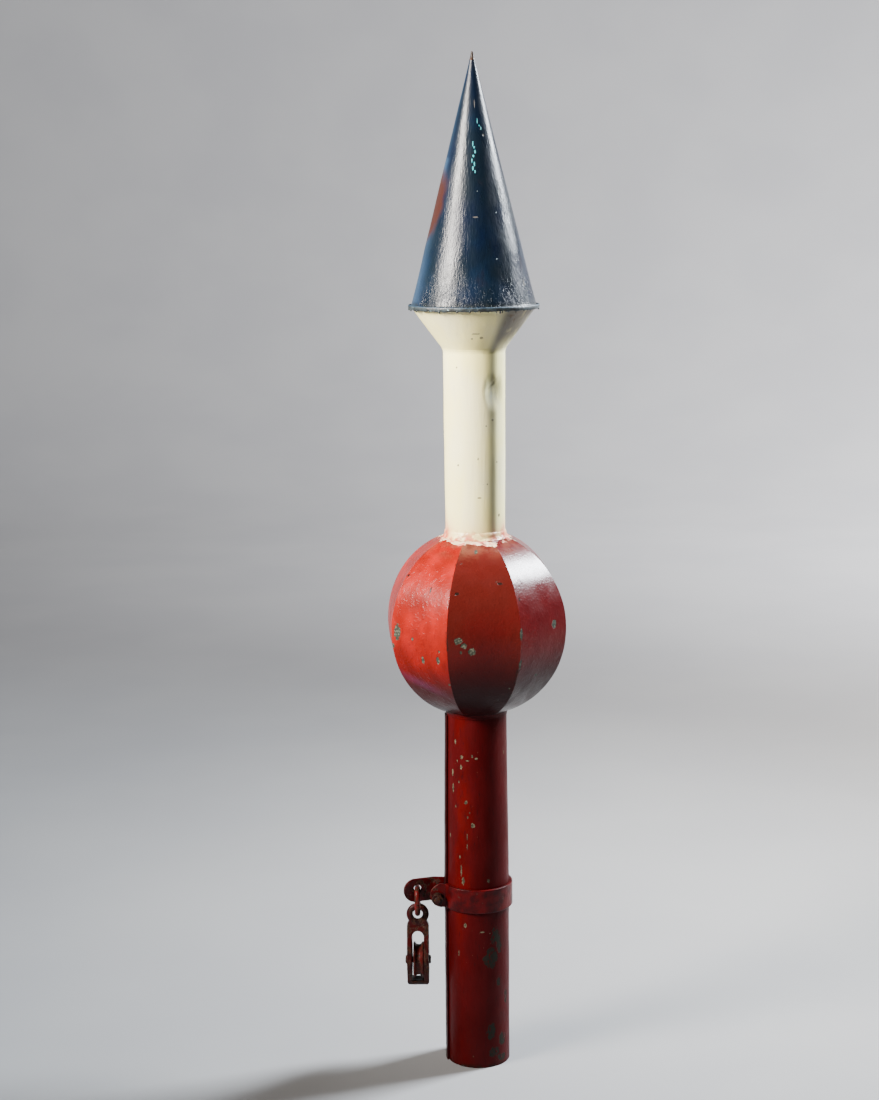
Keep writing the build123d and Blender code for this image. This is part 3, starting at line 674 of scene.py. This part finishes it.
# %% Ring shells
def filled(corners, spacing):
    """Points along an open outline, none further apart than spacing; the corners stay."""
    points = []
    for (r0, z0), (r1, z1) in zip(corners, corners[1:]):
        steps = max(1, math.ceil(math.hypot(r1 - r0, z1 - z0) / spacing))
        points += [(r0 + (r1 - r0) * i / steps, z0 + (z1 - z0) * i / steps) for i in range(steps)]
    return points + [corners[-1]]


def around_axis(azimuth, radius, height):
    """A place from its azimuth from the front towards the right, in degrees."""
    a = math.radians(azimuth)
    return Vector((radius * math.sin(a), -radius * math.cos(a), height))


def ripple(azimuth, radius, height, size, seed):
    """Smooth noise from -1 to 1 on the surface, with lumps of this size."""
    return noise.noise(around_axis(azimuth, radius, height) / size + Vector((seed, seed, seed)))


def smooth_mesh(mesh, sharp=50):
    mesh.shade_smooth()
    mesh.set_sharp_from_angle(angle=math.radians(sharp))


def placed(name, mesh):
    """A new piece from a mesh."""
    piece = bpy.data.objects.new(name, mesh)
    bpy.context.scene.collection.objects.link(piece)
    return piece


def ring_shell(name, outline, steps, shape):
    """Closed outline of (radius, height) turned about the axis, each point moved by shape."""
    mesh = bpy.data.meshes.new(name)
    count = len(outline)
    verts, faces = [], []
    for k in range(steps):
        azimuth = 360 * k / steps
        verts += [around_axis(azimuth, *shape(azimuth, radius, height)) for radius, height in outline]
        here, there = k * count, (k + 1) % steps * count
        for i in range(count):
            j = (i + 1) % count
            faces.append((here + i, there + i, there + j, here + j))
    mesh.from_pydata(verts, [], faces)
    work = bmesh.new()
    work.from_mesh(mesh)
    bmesh.ops.recalc_face_normals(work, faces=work.faces)
    work.to_mesh(mesh)
    work.free()
    smooth_mesh(mesh)
    return placed(name, mesh)


def settle(piece, body, slot, finish, *nodes):
    """Paints a finished piece, puts it on its body and lets it stand for its plain nodes."""
    piece.data.materials.clear()
    piece.data.materials.append(finish)
    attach(piece, body)
    if nodes:
        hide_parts(*nodes)
    print(f"{piece.name}: {len(piece.data.polygons)} faces on {body}")


# %% Spire and its tip
sheet = 1.2 * mm
spire_base, spire_tip = 75 * mm, 3.2 * mm
lip_radius = 77.2 * mm
lip_top = rim_height + sheet
spire_inner = spire_base - 1.5 * sheet
seam_azimuth, seam_half_width, seam_proud = 176, 5, 0.9 * mm


def spire_shape(azimuth, radius, height):
    share = (tip_height - height) / (tip_height - rim_height)
    inwards = (0.5 + 0.5 * ripple(azimuth, radius, height, 46 * mm, 3.1)) * 1.1 * mm
    inwards += (0.5 + 0.5 * ripple(azimuth, radius, height, 15 * mm, 8.2)) * 0.22 * mm
    away = abs((azimuth - seam_azimuth + 180) % 360 - 180) * math.radians(radius) / mm
    seam = seam_proud * max(0.0, 1 - (away / seam_half_width) ** 4)
    return radius - (inwards - seam) * min(1.0, 1.2 * share), height


spire_lip = [(lip_radius, rim_height), (lip_radius, lip_top - 0.3 * mm), (spire_base + 1.2 * mm, lip_top)]
spire_slope = [(spire_base + 0.3 * mm, lip_top + 0.7 * mm), (spire_tip, tip_height)]
spire_inside = [(spire_tip - 1.1 * mm, tip_height), (spire_inner, rim_height)]
spire_outline = filled(spire_lip, 1 * mm) + filled(spire_slope, 2.4 * mm) + filled(spire_inside, 14 * mm)
spire = ring_shell("spire_shell", spire_outline, 168, spire_shape)
settle(spire, "mast_head", "spire_paint", spire_finish, "spire_cone")

point_low, point_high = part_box("spire_point")
point_base = point_low.z + 9 * mm
axis_gap = 0.01 * mm  # keeps the ring open at the axis, so no two points fall together
point_outline = [
    (axis_gap, point_low.z), (1.7 * mm, point_low.z), (1.7 * mm, point_base), (3.2 * mm, point_base),
    (3.1 * mm, point_base + 1 * mm), (2.0 * mm, point_base + 5 * mm), (1.5 * mm, point_high.z - 1.6 * mm),
    (0.9 * mm, point_high.z - 0.4 * mm), (axis_gap, point_high.z),
]


def point_shape(azimuth, radius, height):
    return radius * (1 + 0.12 * ripple(azimuth, radius, height, 2 * mm, 5.0)), height


point = ring_shell("spire_point_cap", filled(point_outline, 0.6 * mm), 32, point_shape)
settle(point, "mast_head", "bare_point", point_finish, "spire_point")

# %% [markdown]
# ## Funnel and rim
# The funnel is the spire's mirror, cut short. Where both lips meet they are folded together and
# brushed with pitch, which runs and leaves a ragged lower edge. The rim is therefore a bead whose
# lower side is pushed down by noise; the drops of pitch that hang from it come later.

# %% Funnel and rim
funnel_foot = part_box("funnel")[0].z
neck_top = 37.6 * mm


def funnel_shape(azimuth, radius, height):
    inwards = (0.5 + 0.5 * ripple(azimuth, radius, height, 30 * mm, 1.4)) * 0.7 * mm
    return radius - inwards, height


lips_meet = rim_height - 0.01 * mm
funnel_slope = [(neck_top, funnel_foot), (spire_base, rim_height - sheet)]
funnel_lip = [(lip_radius, rim_height - sheet), (lip_radius, lips_meet)]
funnel_inside = [(spire_inner, lips_meet), (neck_top - 1.5 * sheet, funnel_foot)]
funnel_outline = filled(funnel_slope, 2 * mm) + funnel_lip + filled(funnel_inside, 8 * mm)
funnel = ring_shell("funnel_shell", funnel_outline, 144, funnel_shape)
settle(funnel, "mast_head", "cream_paint", ivory_finish, "funnel")

hem_low, hem_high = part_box("rim_hem")
hem_out, hem_back = hem_high.x, 75.8 * mm
hem_half = (hem_high.z - hem_low.z) / 2
hem_thick = (hem_out - hem_back) / 2


def rim_shape(azimuth, radius, height):
    below = max(0.0, (rim_height - height) / hem_half)
    drip_radius = 78 * mm
    run = ripple(azimuth, drip_radius, 0.0, 9 * mm, 2.2)
    run += 0.6 * ripple(azimuth, drip_radius, 0.0, 3.5 * mm, 6.0)
    sag = below * max(0.0, 0.35 + run) * 1.9 * mm
    proud = 0.35 * mm * ripple(azimuth, radius, height, 4 * mm, 4.0)
    return radius + proud - 0.5 * sag * below, height - sag


rim_points, rim_fill = 28, 0.93  # the section has this many points and fills this share of the hem's
rim_outline = []
for step in range(rim_points):
    turned = math.tau * step / rim_points
    squared = rim_fill / max(abs(math.cos(turned)), abs(math.sin(turned))) ** 0.45
    outwards, upwards = hem_thick * math.cos(turned) * squared, hem_half * math.sin(turned) * squared
    rim_outline.append((hem_out - hem_thick + outwards, rim_height + upwards))
rim = ring_shell("tarred_rim_bead", rim_outline, 420, rim_shape)
settle(rim, "mast_head", "tarred_rim", rim_finish, "rim_hem")

# %% [markdown]
# ## Neck
# The neck is a rolled tube that narrows slightly downwards. It took one blow, high on the right,
# which left a dent with a crease across it. A dent is a smooth pit in the radius; the crease is a
# sharper groove laid over the pit at a slant, and above it the sheet is pushed out a little.

# %% Neck and the solder at its ends
neck_low, neck_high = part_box("neck_tube")
neck_bottom = 36.6 * mm


def pit(azimuth, height, at, size):
    """1 at the middle of a round dent, 0 outside it: at and size are (degrees, metres)."""
    away = math.hypot(((azimuth - at[0] + 180) % 360 - 180) / size[0], (height - at[1]) / size[1])
    return (1 - away * away) ** 2 if away < 1 else 0.0


def neck_shape(azimuth, radius, height):
    inwards = 0.35 * mm * (1 + ripple(azimuth, radius, height, 55 * mm, 7.7))
    inwards += 3.6 * mm * pit(azimuth, height, (41, 853 * mm), (27, 26 * mm))
    slant = (azimuth - 38) * 0.6 * mm - (height - 862 * mm)
    crease = math.exp(-((slant / (2.2 * mm)) ** 2)) * pit(azimuth, height, (36, 862 * mm), (22, 18 * mm))
    inwards += 1.0 * mm * crease - 0.8 * mm * pit(azimuth, height, (44, 868 * mm), (12, 10 * mm))
    return radius - inwards, height


neck_at_ball = (neck_bottom + 0.05 * mm, ball_top)
neck_outline = filled([(neck_bottom - 0.6 * sheet, neck_low.z), (neck_bottom, neck_low.z)], 1 * mm)[:-1]
neck_outline += filled([(neck_bottom, neck_low.z), neck_at_ball], 12 * mm)[:-1]
neck_outline += filled([neck_at_ball, (neck_top, neck_high.z)], 2 * mm)
neck_outline += filled([(neck_top - sheet, neck_high.z), (neck_bottom - sheet, neck_low.z)], 20 * mm)
neck = ring_shell("neck_shell", neck_outline, 144, neck_shape)
settle(neck, "mast_head", "cream_paint", ivory_finish, "neck_tube")


def lumpy(size, depth, seed):
    """A shape for solder: lumps of this size that stand this much proud or shy."""
    def shape(azimuth, radius, height):
        swell = ripple(azimuth, radius, height, size, seed)
        swell += 0.4 * ripple(azimuth, radius, height, size / 3, seed)
        return radius + depth * swell, height + 0.5 * depth * swell
    return shape


def solder(name, node, outline, spacing, shape, slot, finish):
    """A ring of solder; its outline has each radius in millimetres and each height in metres."""
    section = filled([(radius * mm, height) for radius, height in outline], spacing)
    settle(ring_shell(name, section, 200, shape), "mast_head", slot, finish, node)


over_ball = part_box("ball_top_solder")[1].z
top_fillet = [
    (36.2, ball_top - 2 * mm), (39.5, ball_top - 1.4 * mm), (40.2, ball_top - 0.4 * mm),
    (39.0, ball_top + 1.2 * mm), (37.9, ball_top + 3.4 * mm), (37.1, ball_top + 7 * mm), (36.2, over_ball),
]
solder("ball_top_fillet", "ball_top_solder", top_fillet, 0.9 * mm, lumpy(7 * mm, 0.7 * mm, 2.0), "ball_putty",
       ivory_finish)

below_ball, under_ball = (corner.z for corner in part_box("ball_bottom_solder"))
bottom_fillet = [(36.2, under_ball), (36.2, below_ball), (37.9, below_ball)]
bottom_fillet += [(38.4, below_ball + 3 * mm), (39.4, under_ball)]
solder("ball_bottom_fillet", "ball_bottom_solder", bottom_fillet, 0.9 * mm, lumpy(6 * mm, 0.35 * mm, 4.0),
       "ball_putty", socket_finish)

bead_foot, bead_top = (corner.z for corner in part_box("funnel_solder"))
bead = [(37.2, bead_foot), (37.8, funnel_foot - 0.5 * mm), (38.1, funnel_foot)]
bead += [(38.9, bead_top - 0.6 * mm), (37.2, funnel_foot)]
solder("funnel_solder_bead", "funnel_solder", bead, 0.7 * mm, lumpy(6 * mm, 0.12 * mm, 6.0), "cream_paint",
       ivory_finish)

# %% [markdown]
# ## Recipes in Geometry Nodes
# Some pieces repeat or follow a rule: the eight gores, the bolt's thread, the wire link, the drips of
# pitch. Each is a small Geometry Nodes tree with named sizes. `Recipe` builds the tree with the same
# node-making method as the finishes, and `made_from` sets the sizes, lets Blender work the shape out,
# and keeps the result as a plain mesh, which is what the other tools need.

# %% Recipes
class Recipe(Net):
    """A Geometry Nodes tree whose named inputs are its sizes."""

    def __init__(self, name, sizes):
        super().__init__(bpy.data.node_groups.new(name, "GeometryNodeTree"))
        self.keys = {}
        for size in sizes:
            kind = "NodeSocketInt" if size.endswith(("count", "seed")) else "NodeSocketFloat"
            socket = self.tree.interface.new_socket(size, in_out="INPUT", socket_type=kind)
            self.keys[size] = socket.identifier
        self.tree.interface.new_socket("Geometry", in_out="OUTPUT", socket_type="NodeSocketGeometry")
        self.sizes = dict(zip(sizes, self.node("NodeGroupInput")))

    def close(self, geometry, finish):
        """Ends the tree: real geometry with its finish."""
        real = self.node("GeometryNodeRealizeInstances", {}, {0: geometry})[0]
        painted = self.node("GeometryNodeSetMaterial", {}, {"Geometry": real, "Material": finish})[0]
        self.node("NodeGroupOutput", {}, {0: painted})
        return self


def plain_copy(piece):
    """Swaps a piece's mesh for what its modifiers make of it, and removes them."""
    seen = piece.evaluated_get(bpy.context.evaluated_depsgraph_get())
    mesh = bpy.data.meshes.new_from_object(seen)
    mesh.name = piece.name
    piece.modifiers.clear()
    piece.data = mesh
    return piece


def made_from(recipe, name, sizes, wall=None):
    """A plain mesh made by a recipe at these sizes, with a wall inwards where one is asked for."""
    piece = placed(name, bpy.data.meshes.new(name))
    modifier = piece.modifiers.new("recipe", "NODES")
    modifier.node_group = recipe.tree
    for size, value in sizes.items():
        modifier[recipe.keys[size]] = value
    if wall is not None:
        solid = piece.modifiers.new("wall", "SOLIDIFY")
        solid.thickness = wall
        solid.offset = -1
    plain_copy(piece)
    smooth_mesh(piece.data, 40)
    return piece


print("recipes are ready")

# %% [markdown]
# ## The ball
# A tinsmith can't easily beat a sphere out of sheet, so the ball is eight gores, each bent one way
# only: a level cut through it is an octagon. That is a rule, so one recipe makes every gore. It bends
# a flat grid along an ellipse and widens it with the distance from the axis. Noise that is read at
# the place itself dents the sheet, so neighbours still meet along their seam.

# %% Ball gores
flat_reach = 115.3 * mm * math.cos(math.pi / gore_total)
half_height = 116 * mm
ball_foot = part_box("ball_gore_1")[0].z


def gore_recipe():
    """One gore: a flat grid bent along an ellipse, as wide as its angle asks for."""
    r = Recipe("gore", ["flat reach", "half height", "middle height", "low turn", "high turn", "facing",
                        "half angle", "dent depth", "dent size"])
    s = r.sizes
    points_across, points_along = 37, 105
    grid = r.node("GeometryNodeMeshGrid", {}, {0: 1.0, 1: 1.0, 2: points_across, 3: points_along})[0]
    place = r.node("GeometryNodeInputPosition")[0]
    u, v, flat = r.node("ShaderNodeSeparateXYZ", {}, {0: place})
    turn = s["low turn"] + (s["high turn"] - s["low turn"]) * (v + 0.5)
    out = s["flat reach"] * turn.math("COSINE", turn)
    height = s["middle height"] + s["half height"] * turn.math("SINE", turn)
    aside = out * turn.math("TANGENT", s["half angle"]) * u * 2
    sine, cosine = turn.math("SINE", s["facing"]), turn.math("COSINE", s["facing"])
    x = out * sine + aside * cosine
    y = aside * sine - out * cosine
    true_place = r.node("ShaderNodeCombineXYZ", {}, {0: x, 1: y, 2: height})[0]
    dents = {"Vector": true_place, "Scale": 1 / s["dent size"], "Detail": 2.0}
    lump = r.node("ShaderNodeTexNoise", {}, dents)[0]
    shrink = 1 - s["dent depth"] * lump / s["flat reach"]
    dented = r.node("ShaderNodeCombineXYZ", {}, {0: x * shrink, 1: y * shrink, 2: height})[0]
    bent = r.node("GeometryNodeSetPosition", {}, {"Geometry": grid, "Position": dented})[0]
    return r.close(bent, ball_finish)


gore = gore_recipe()
low_turn = math.asin((ball_foot - ball_middle) / half_height)
high_turn = math.asin((ball_top - ball_middle) / half_height)
gore_sizes = {"flat reach": flat_reach, "half height": half_height, "middle height": ball_middle}
gore_sizes |= {"low turn": low_turn, "high turn": high_turn, "half angle": math.pi / gore_total}
gore_sizes |= {"dent depth": 1.3 * mm, "dent size": 42 * mm}
for k in range(gore_total):
    facing = math.radians(first_seam + (k + 0.5) * gore_turn)
    ball_sheet = made_from(gore, f"ball_sheet_{k + 1}", gore_sizes | {"facing": facing}, sheet)
    settle(ball_sheet, "mast_head", "ball_paint", ball_finish, f"ball_gore_{k + 1}")

# %% [markdown]
# ## Mast socket
# The socket is one sheet rolled up, with its right edge lapped over its left on the left-hand side.
# The section is a spiral of constant thickness, so the code walks once round it, and steps outwards
# by one sheet and a small gap where the lap begins. It narrows over its upper part, is a little
# dented, and its foot is nicked. Round the strap it stays calm, so that the strap fits.

# %% Socket
socket_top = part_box("mast_socket")[1].z
socket_wall, lap_gap = 1.5 * mm, 1.0 * mm
foot_radius, narrowing, narrow_from, narrow_over = 39.6 * mm, 2.1 * mm, 262 * mm, 166 * mm
lip_at, lap_step, lap_end = 280.0, 621.5, 649.0  # degrees from the front, once round and a little more
lap_top = socket_top - 7 * mm
strap_middle, strap_clear, strap_half = 220 * mm, 30 * mm, 16 * mm


def socket_radius(height):
    share = min(max((height - narrow_from) / narrow_over, 0.0), 1.0)
    return foot_radius - narrowing * share


def eased(value, low, high):
    share = min(max((value - low) / (high - low), 0.0), 1.0)
    return share * share * (3 - 2 * share)


def socket_sheet(columns=210, rows=190):
    """The rolled sheet, outside and inside, closed along its four edges."""
    sides = {"outside": [], "inside": []}
    for i in range(columns + 1):
        azimuth = lip_at + (lap_end - lip_at) * i / columns
        step_out = (lap_gap + socket_wall) * eased(azimuth, lap_step - 1, lap_step + 3)
        top = socket_top + (lap_top - socket_top) * eased(azimuth, lap_step - 3, lap_step)
        nick = 0.8 * mm * max(0.0, noise.noise(Vector((azimuth / 9, 4.0, 0.0))))
        for j in range(rows + 1):
            height = nick + (top - nick) * j / rows
            dent = 0.35 * mm * (1 + ripple(azimuth, 39 * mm, height, 60 * mm, 2.6))
            dent += 1.1 * mm * pit(azimuth, height, (60, 400 * mm), (30, 60 * mm))
            dent += 0.3 * mm * pit(azimuth, height, (10, 262 * mm), (60, 14 * mm))
            calm = 1 - 0.9 * eased(abs(height - strap_middle), strap_clear, strap_half)
            radius = socket_radius(height) + step_out - dent * calm
            sides["outside"].append(around_axis(azimuth, radius, height))
            sides["inside"].append(around_axis(azimuth, radius - socket_wall, height))
    tall, to_inside = rows + 1, (columns + 1) * (rows + 1)
    faces = []
    for i in range(columns):
        for j in range(rows):
            a, b, c, d = i * tall + j, (i + 1) * tall + j, (i + 1) * tall + j + 1, i * tall + j + 1
            faces += [(a, b, c, d), (to_inside + d, to_inside + c, to_inside + b, to_inside + a)]
    edge_loop = [i * tall for i in range(columns)] + [columns * tall + j for j in range(rows)]
    edge_loop += [i * tall + rows for i in range(columns, 0, -1)] + list(range(rows, 0, -1))
    for here, there in zip(edge_loop, edge_loop[1:] + edge_loop[:1]):
        faces.append((here, to_inside + here, to_inside + there, there))
    mesh = bpy.data.meshes.new("socket_sheet")
    mesh.from_pydata(sides["outside"] + sides["inside"], [], faces)
    smooth_mesh(mesh)
    return placed("socket_sheet", mesh)


settle(socket_sheet(), "mast_head", "red_paint", socket_finish, "mast_socket")

# %% [markdown]
# ## Iron work
# Forged and cast pieces have soft, slightly lumpy surfaces and no sharp edge anywhere. Bevels would
# give neat machined corners, so each piece is remeshed instead: its plain model is filled with small
# cubes, smoothed until the corners are worn, and pushed about by noise.

# %% Worn iron pieces
def worn_copy(name, node, cube, passes, lump_size, lump_depth, seed):
    """A copy of a plain model with worn corners and a lumpy skin."""
    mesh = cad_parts[node].data.copy()
    work = bmesh.new()
    work.from_mesh(mesh)
    bmesh.ops.remove_doubles(work, verts=work.verts, dist=0.001 * mm)
    work.to_mesh(mesh)
    work.free()
    piece = placed(name, mesh)
    cubes = piece.modifiers.new("cubes", "REMESH")
    cubes.mode = "VOXEL"
    cubes.voxel_size = cube
    worn = piece.modifiers.new("worn", "SMOOTH")
    worn.factor = 0.5
    worn.iterations = passes
    plain_copy(piece)
    shift = Vector((seed, seed, seed))
    normals = [vertex.normal.copy() for vertex in piece.data.vertices]
    for vertex, normal in zip(piece.data.vertices, normals):
        lump = noise.noise(vertex.co / lump_size + shift)
        lump += 0.4 * noise.noise(vertex.co / (0.3 * lump_size) + shift)
        vertex.co += normal * lump * lump_depth
    piece.data.shade_smooth()
    return piece


# each piece with its plain model, cube size, smoothing passes, lump size and depth, body, slot and finish
worn_pieces = [
    ("strap_iron", "clamp_strap", 0.7, 2, 12, 0.22, "mast_head", "strap_paint", strap_finish),
    ("nut_iron", "clamp_nut", 0.32, 3, 4, 0.15, "mast_head", "rusted_iron", bolt_finish),
    ("nut_washer_iron", "nut_washer", 0.3, 2, 4, 0.12, "mast_head", "rusted_iron", bolt_finish),
    ("head_washer_iron", "head_washer", 0.3, 2, 4, 0.12, "mast_head", "rusted_iron", bolt_finish),
    ("bolt_iron", "clamp_bolt", 0.36, 3, 4, 0.12, "mast_head", "rusted_iron", bolt_finish),
    ("block_iron", "block_shell", 0.6, 3, 6, 0.1, "block", "block_paint", block_finish),
    ("axle_iron", "sheave_axle", 0.36, 3, 4, 0.12, "block", "rusted_iron", axle_finish),
    ("sheave_iron", "sheave", 0.4, 2, 5, 0.1, "sheave", "sheave_iron", sheave_finish),
]
for seed, (name, node, cube, passes, size, depth, body, slot, finish) in enumerate(worn_pieces, 1):
    worn = worn_copy(name, node, cube * mm, passes, size * mm, depth * mm, seed)
    settle(worn, body, slot, finish, node)

# %% [markdown]
# ## Wire link
# A link is a round bar bent to a loop and welded. The recipe draws a rectangle, rounds its corners and
# sweeps a circle along it, which is how the smith thinks of it too: the length and width of the loop
# and the thickness of the bar are its only sizes.

# %% Link
def link_recipe():
    """A closed loop of round bar, lying flat."""
    r = Recipe("wire link", ["width", "length", "corner", "wire", "lump depth", "lump size"])
    s = r.sizes
    loop = r.node("GeometryNodeCurvePrimitiveQuadrilateral", {}, {0: s["length"], 1: s["width"]})[0]
    fillet = {"Curve": loop, "Count": 9, "Radius": s["corner"]}
    rounded = r.node("GeometryNodeFilletCurve", {"mode": "POLY"}, fillet)[0]
    even = r.node("GeometryNodeResampleCurve", {}, {"Curve": rounded, "Count": 96})[0]
    section = r.node("GeometryNodeCurvePrimitiveCircle", {}, {"Resolution": 24, "Radius": s["wire"]})[0]
    bar = r.node("GeometryNodeCurveToMesh", {}, {0: even, 1: section})[0]
    place = r.node("GeometryNodeInputPosition")[0]
    lumps = {"Vector": place, "Scale": 1 / s["lump size"], "Detail": 3.0}
    lump = r.node("ShaderNodeTexNoise", {}, lumps)[0]
    depth = (lump - 0.5) * s["lump depth"]
    outwards = r.node("GeometryNodeInputNormal")[0]
    push = r.node("ShaderNodeVectorMath", {"operation": "SCALE"}, {0: outwards, "Scale": depth})[0]
    worn = r.node("GeometryNodeSetPosition", {}, {"Geometry": bar, "Offset": push})[0]
    return r.close(worn, link_finish)


link_low, link_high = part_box("hanging_link")
wire = (link_high.x - link_low.x) / 2
link_middle = (link_low + link_high) / 2
link_sizes = {"width": link_high.y - link_low.y - 2 * wire, "length": link_high.z - link_low.z - 2 * wire}
link_sizes |= {"corner": 9.5 * mm, "wire": wire, "lump depth": 0.3 * mm, "lump size": 5 * mm}
link = made_from(link_recipe(), "wire_link", link_sizes)
upright = Matrix.Rotation(math.radians(-90), 4, "Y")
link.data.transform(Matrix.Translation(link_middle) @ upright)
settle(link, "link", "link_paint", link_finish, "hanging_link")

# %% [markdown]
# ## Bolt thread
# A thread is a ridge that winds round the bolt, so it is a helix with a small round section. It runs
# from the end of the bolt, past the nut, to just short of the head. The pitch is that of an M8 bolt.

# %% Thread
def thread_recipe():
    """A round ridge that winds upwards."""
    r = Recipe("thread", ["turns", "radius", "ridge", "length"])
    s = r.sizes
    spiral = {"Resolution": 28, "Rotations": s["turns"], "Height": s["length"]}
    spiral |= {"Start Radius": s["radius"], "End Radius": s["radius"]}
    helix = r.node("GeometryNodeCurveSpiral", {}, spiral)[0]
    section = r.node("GeometryNodeCurvePrimitiveCircle", {}, {"Resolution": 6, "Radius": s["ridge"]})[0]
    ridge = r.node("GeometryNodeCurveToMesh", {}, {0: helix, 1: section, "Fill Caps": True})[0]
    return r.close(ridge, bolt_finish)


nut_low, nut_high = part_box("clamp_nut")
bolt_x, bolt_z = (nut_low.x + nut_high.x) / 2, (nut_low.z + nut_high.z) / 2
thread_start, thread_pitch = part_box("clamp_bolt")[0].y + 1 * mm, 1.25 * mm
thread_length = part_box("head_washer")[0].y - 6 * mm - thread_start
thread_sizes = {"turns": thread_length / thread_pitch, "length": thread_length}
thread_sizes |= {"radius": 3.92 * mm, "ridge": 0.3 * mm}
thread = made_from(thread_recipe(), "bolt_thread", thread_sizes)
along_bolt = Matrix.Rotation(math.radians(-90), 4, "X")
thread.data.transform(Matrix.Translation((bolt_x, thread_start, bolt_z)) @ along_bolt)
settle(thread, "mast_head", "rusted_iron", bolt_finish)

# %% [markdown]
# ## Drips and lumps
# Pitch gathers in drops under the rim, and old paint in lumps where the neck meets the ball. Both are
# drops scattered round a ring, so one recipe serves: it spreads points round a circle, shifts and
# sizes them at random from a fixed seed, and puts a small flattened ball on each.

# %% Drops round a ring
def drops_recipe(finish):
    """Small flattened drops, scattered round a level ring."""
    r = Recipe("drops round a ring", ["drop count", "seed", "ring", "height", "drop", "spread", "tall"])
    s = r.sizes
    ring = r.node("GeometryNodeCurvePrimitiveCircle", {}, {"Resolution": 96, "Radius": s["ring"]})[0]
    points = r.node("GeometryNodeCurveToPoints", {}, {"Curve": ring, "Count": s["drop count"]})[0]
    place = r.node("GeometryNodeInputPosition")[0]
    shake = {"data_type": "FLOAT_VECTOR"}
    random = r.node("FunctionNodeRandomValue", shake, {0: (-1, -1, -1), 1: (1, 1, 1), "Seed": s["seed"]})[0]
    spread = r.node("ShaderNodeCombineXYZ", {}, {0: s["spread"], 1: s["spread"], 2: s["spread"] * 0.2})[0]
    shaken = r.vector("MULTIPLY_ADD", random, spread, place)[0]
    x, y, z = r.node("ShaderNodeSeparateXYZ", {}, {0: shaken})
    stretch = s["ring"] / (x * x + y * y).math("SQRT", x * x + y * y)
    on_ring = r.node("ShaderNodeCombineXYZ", {}, {0: x * stretch, 1: y * stretch, 2: z + s["height"]})[0]
    moved = r.node("GeometryNodeSetPosition", {}, {"Geometry": points, "Position": on_ring})[0]
    ball = r.node("GeometryNodeMeshIcoSphere", {}, {"Radius": s["drop"], "Subdivisions": 2})[0]
    size = r.node("FunctionNodeRandomValue", {}, {2: 0.45, 3: 1.25, "Seed": s["seed"] + 7})[1]
    scale = r.node("ShaderNodeCombineXYZ", {}, {0: size, 1: size, 2: size * s["tall"]})[0]
    drops = r.node("GeometryNodeInstanceOnPoints", {}, {"Points": moved, "Instance": ball, "Scale": scale})[0]
    return r.close(drops, finish)


pitch_sizes = {"drop count": 64, "seed": 3, "ring": 77.4 * mm, "height": hem_low.z - 0.3 * mm}
pitch_sizes |= {"drop": 1.1 * mm, "spread": 6 * mm, "tall": 1.5}
pitch = made_from(drops_recipe(rim_finish), "pitch_drips", pitch_sizes)
settle(pitch, "mast_head", "tarred_rim", rim_finish)
lump_sizes = {"drop count": 18, "seed": 11, "ring": 38.6 * mm, "height": ball_top + 0.8 * mm}
lump_sizes |= {"drop": 1.2 * mm, "spread": 5 * mm, "tall": 0.6}
lumps = made_from(drops_recipe(ivory_finish), "paint_lumps", lump_sizes)
settle(lumps, "mast_head", "ball_putty", ivory_finish)
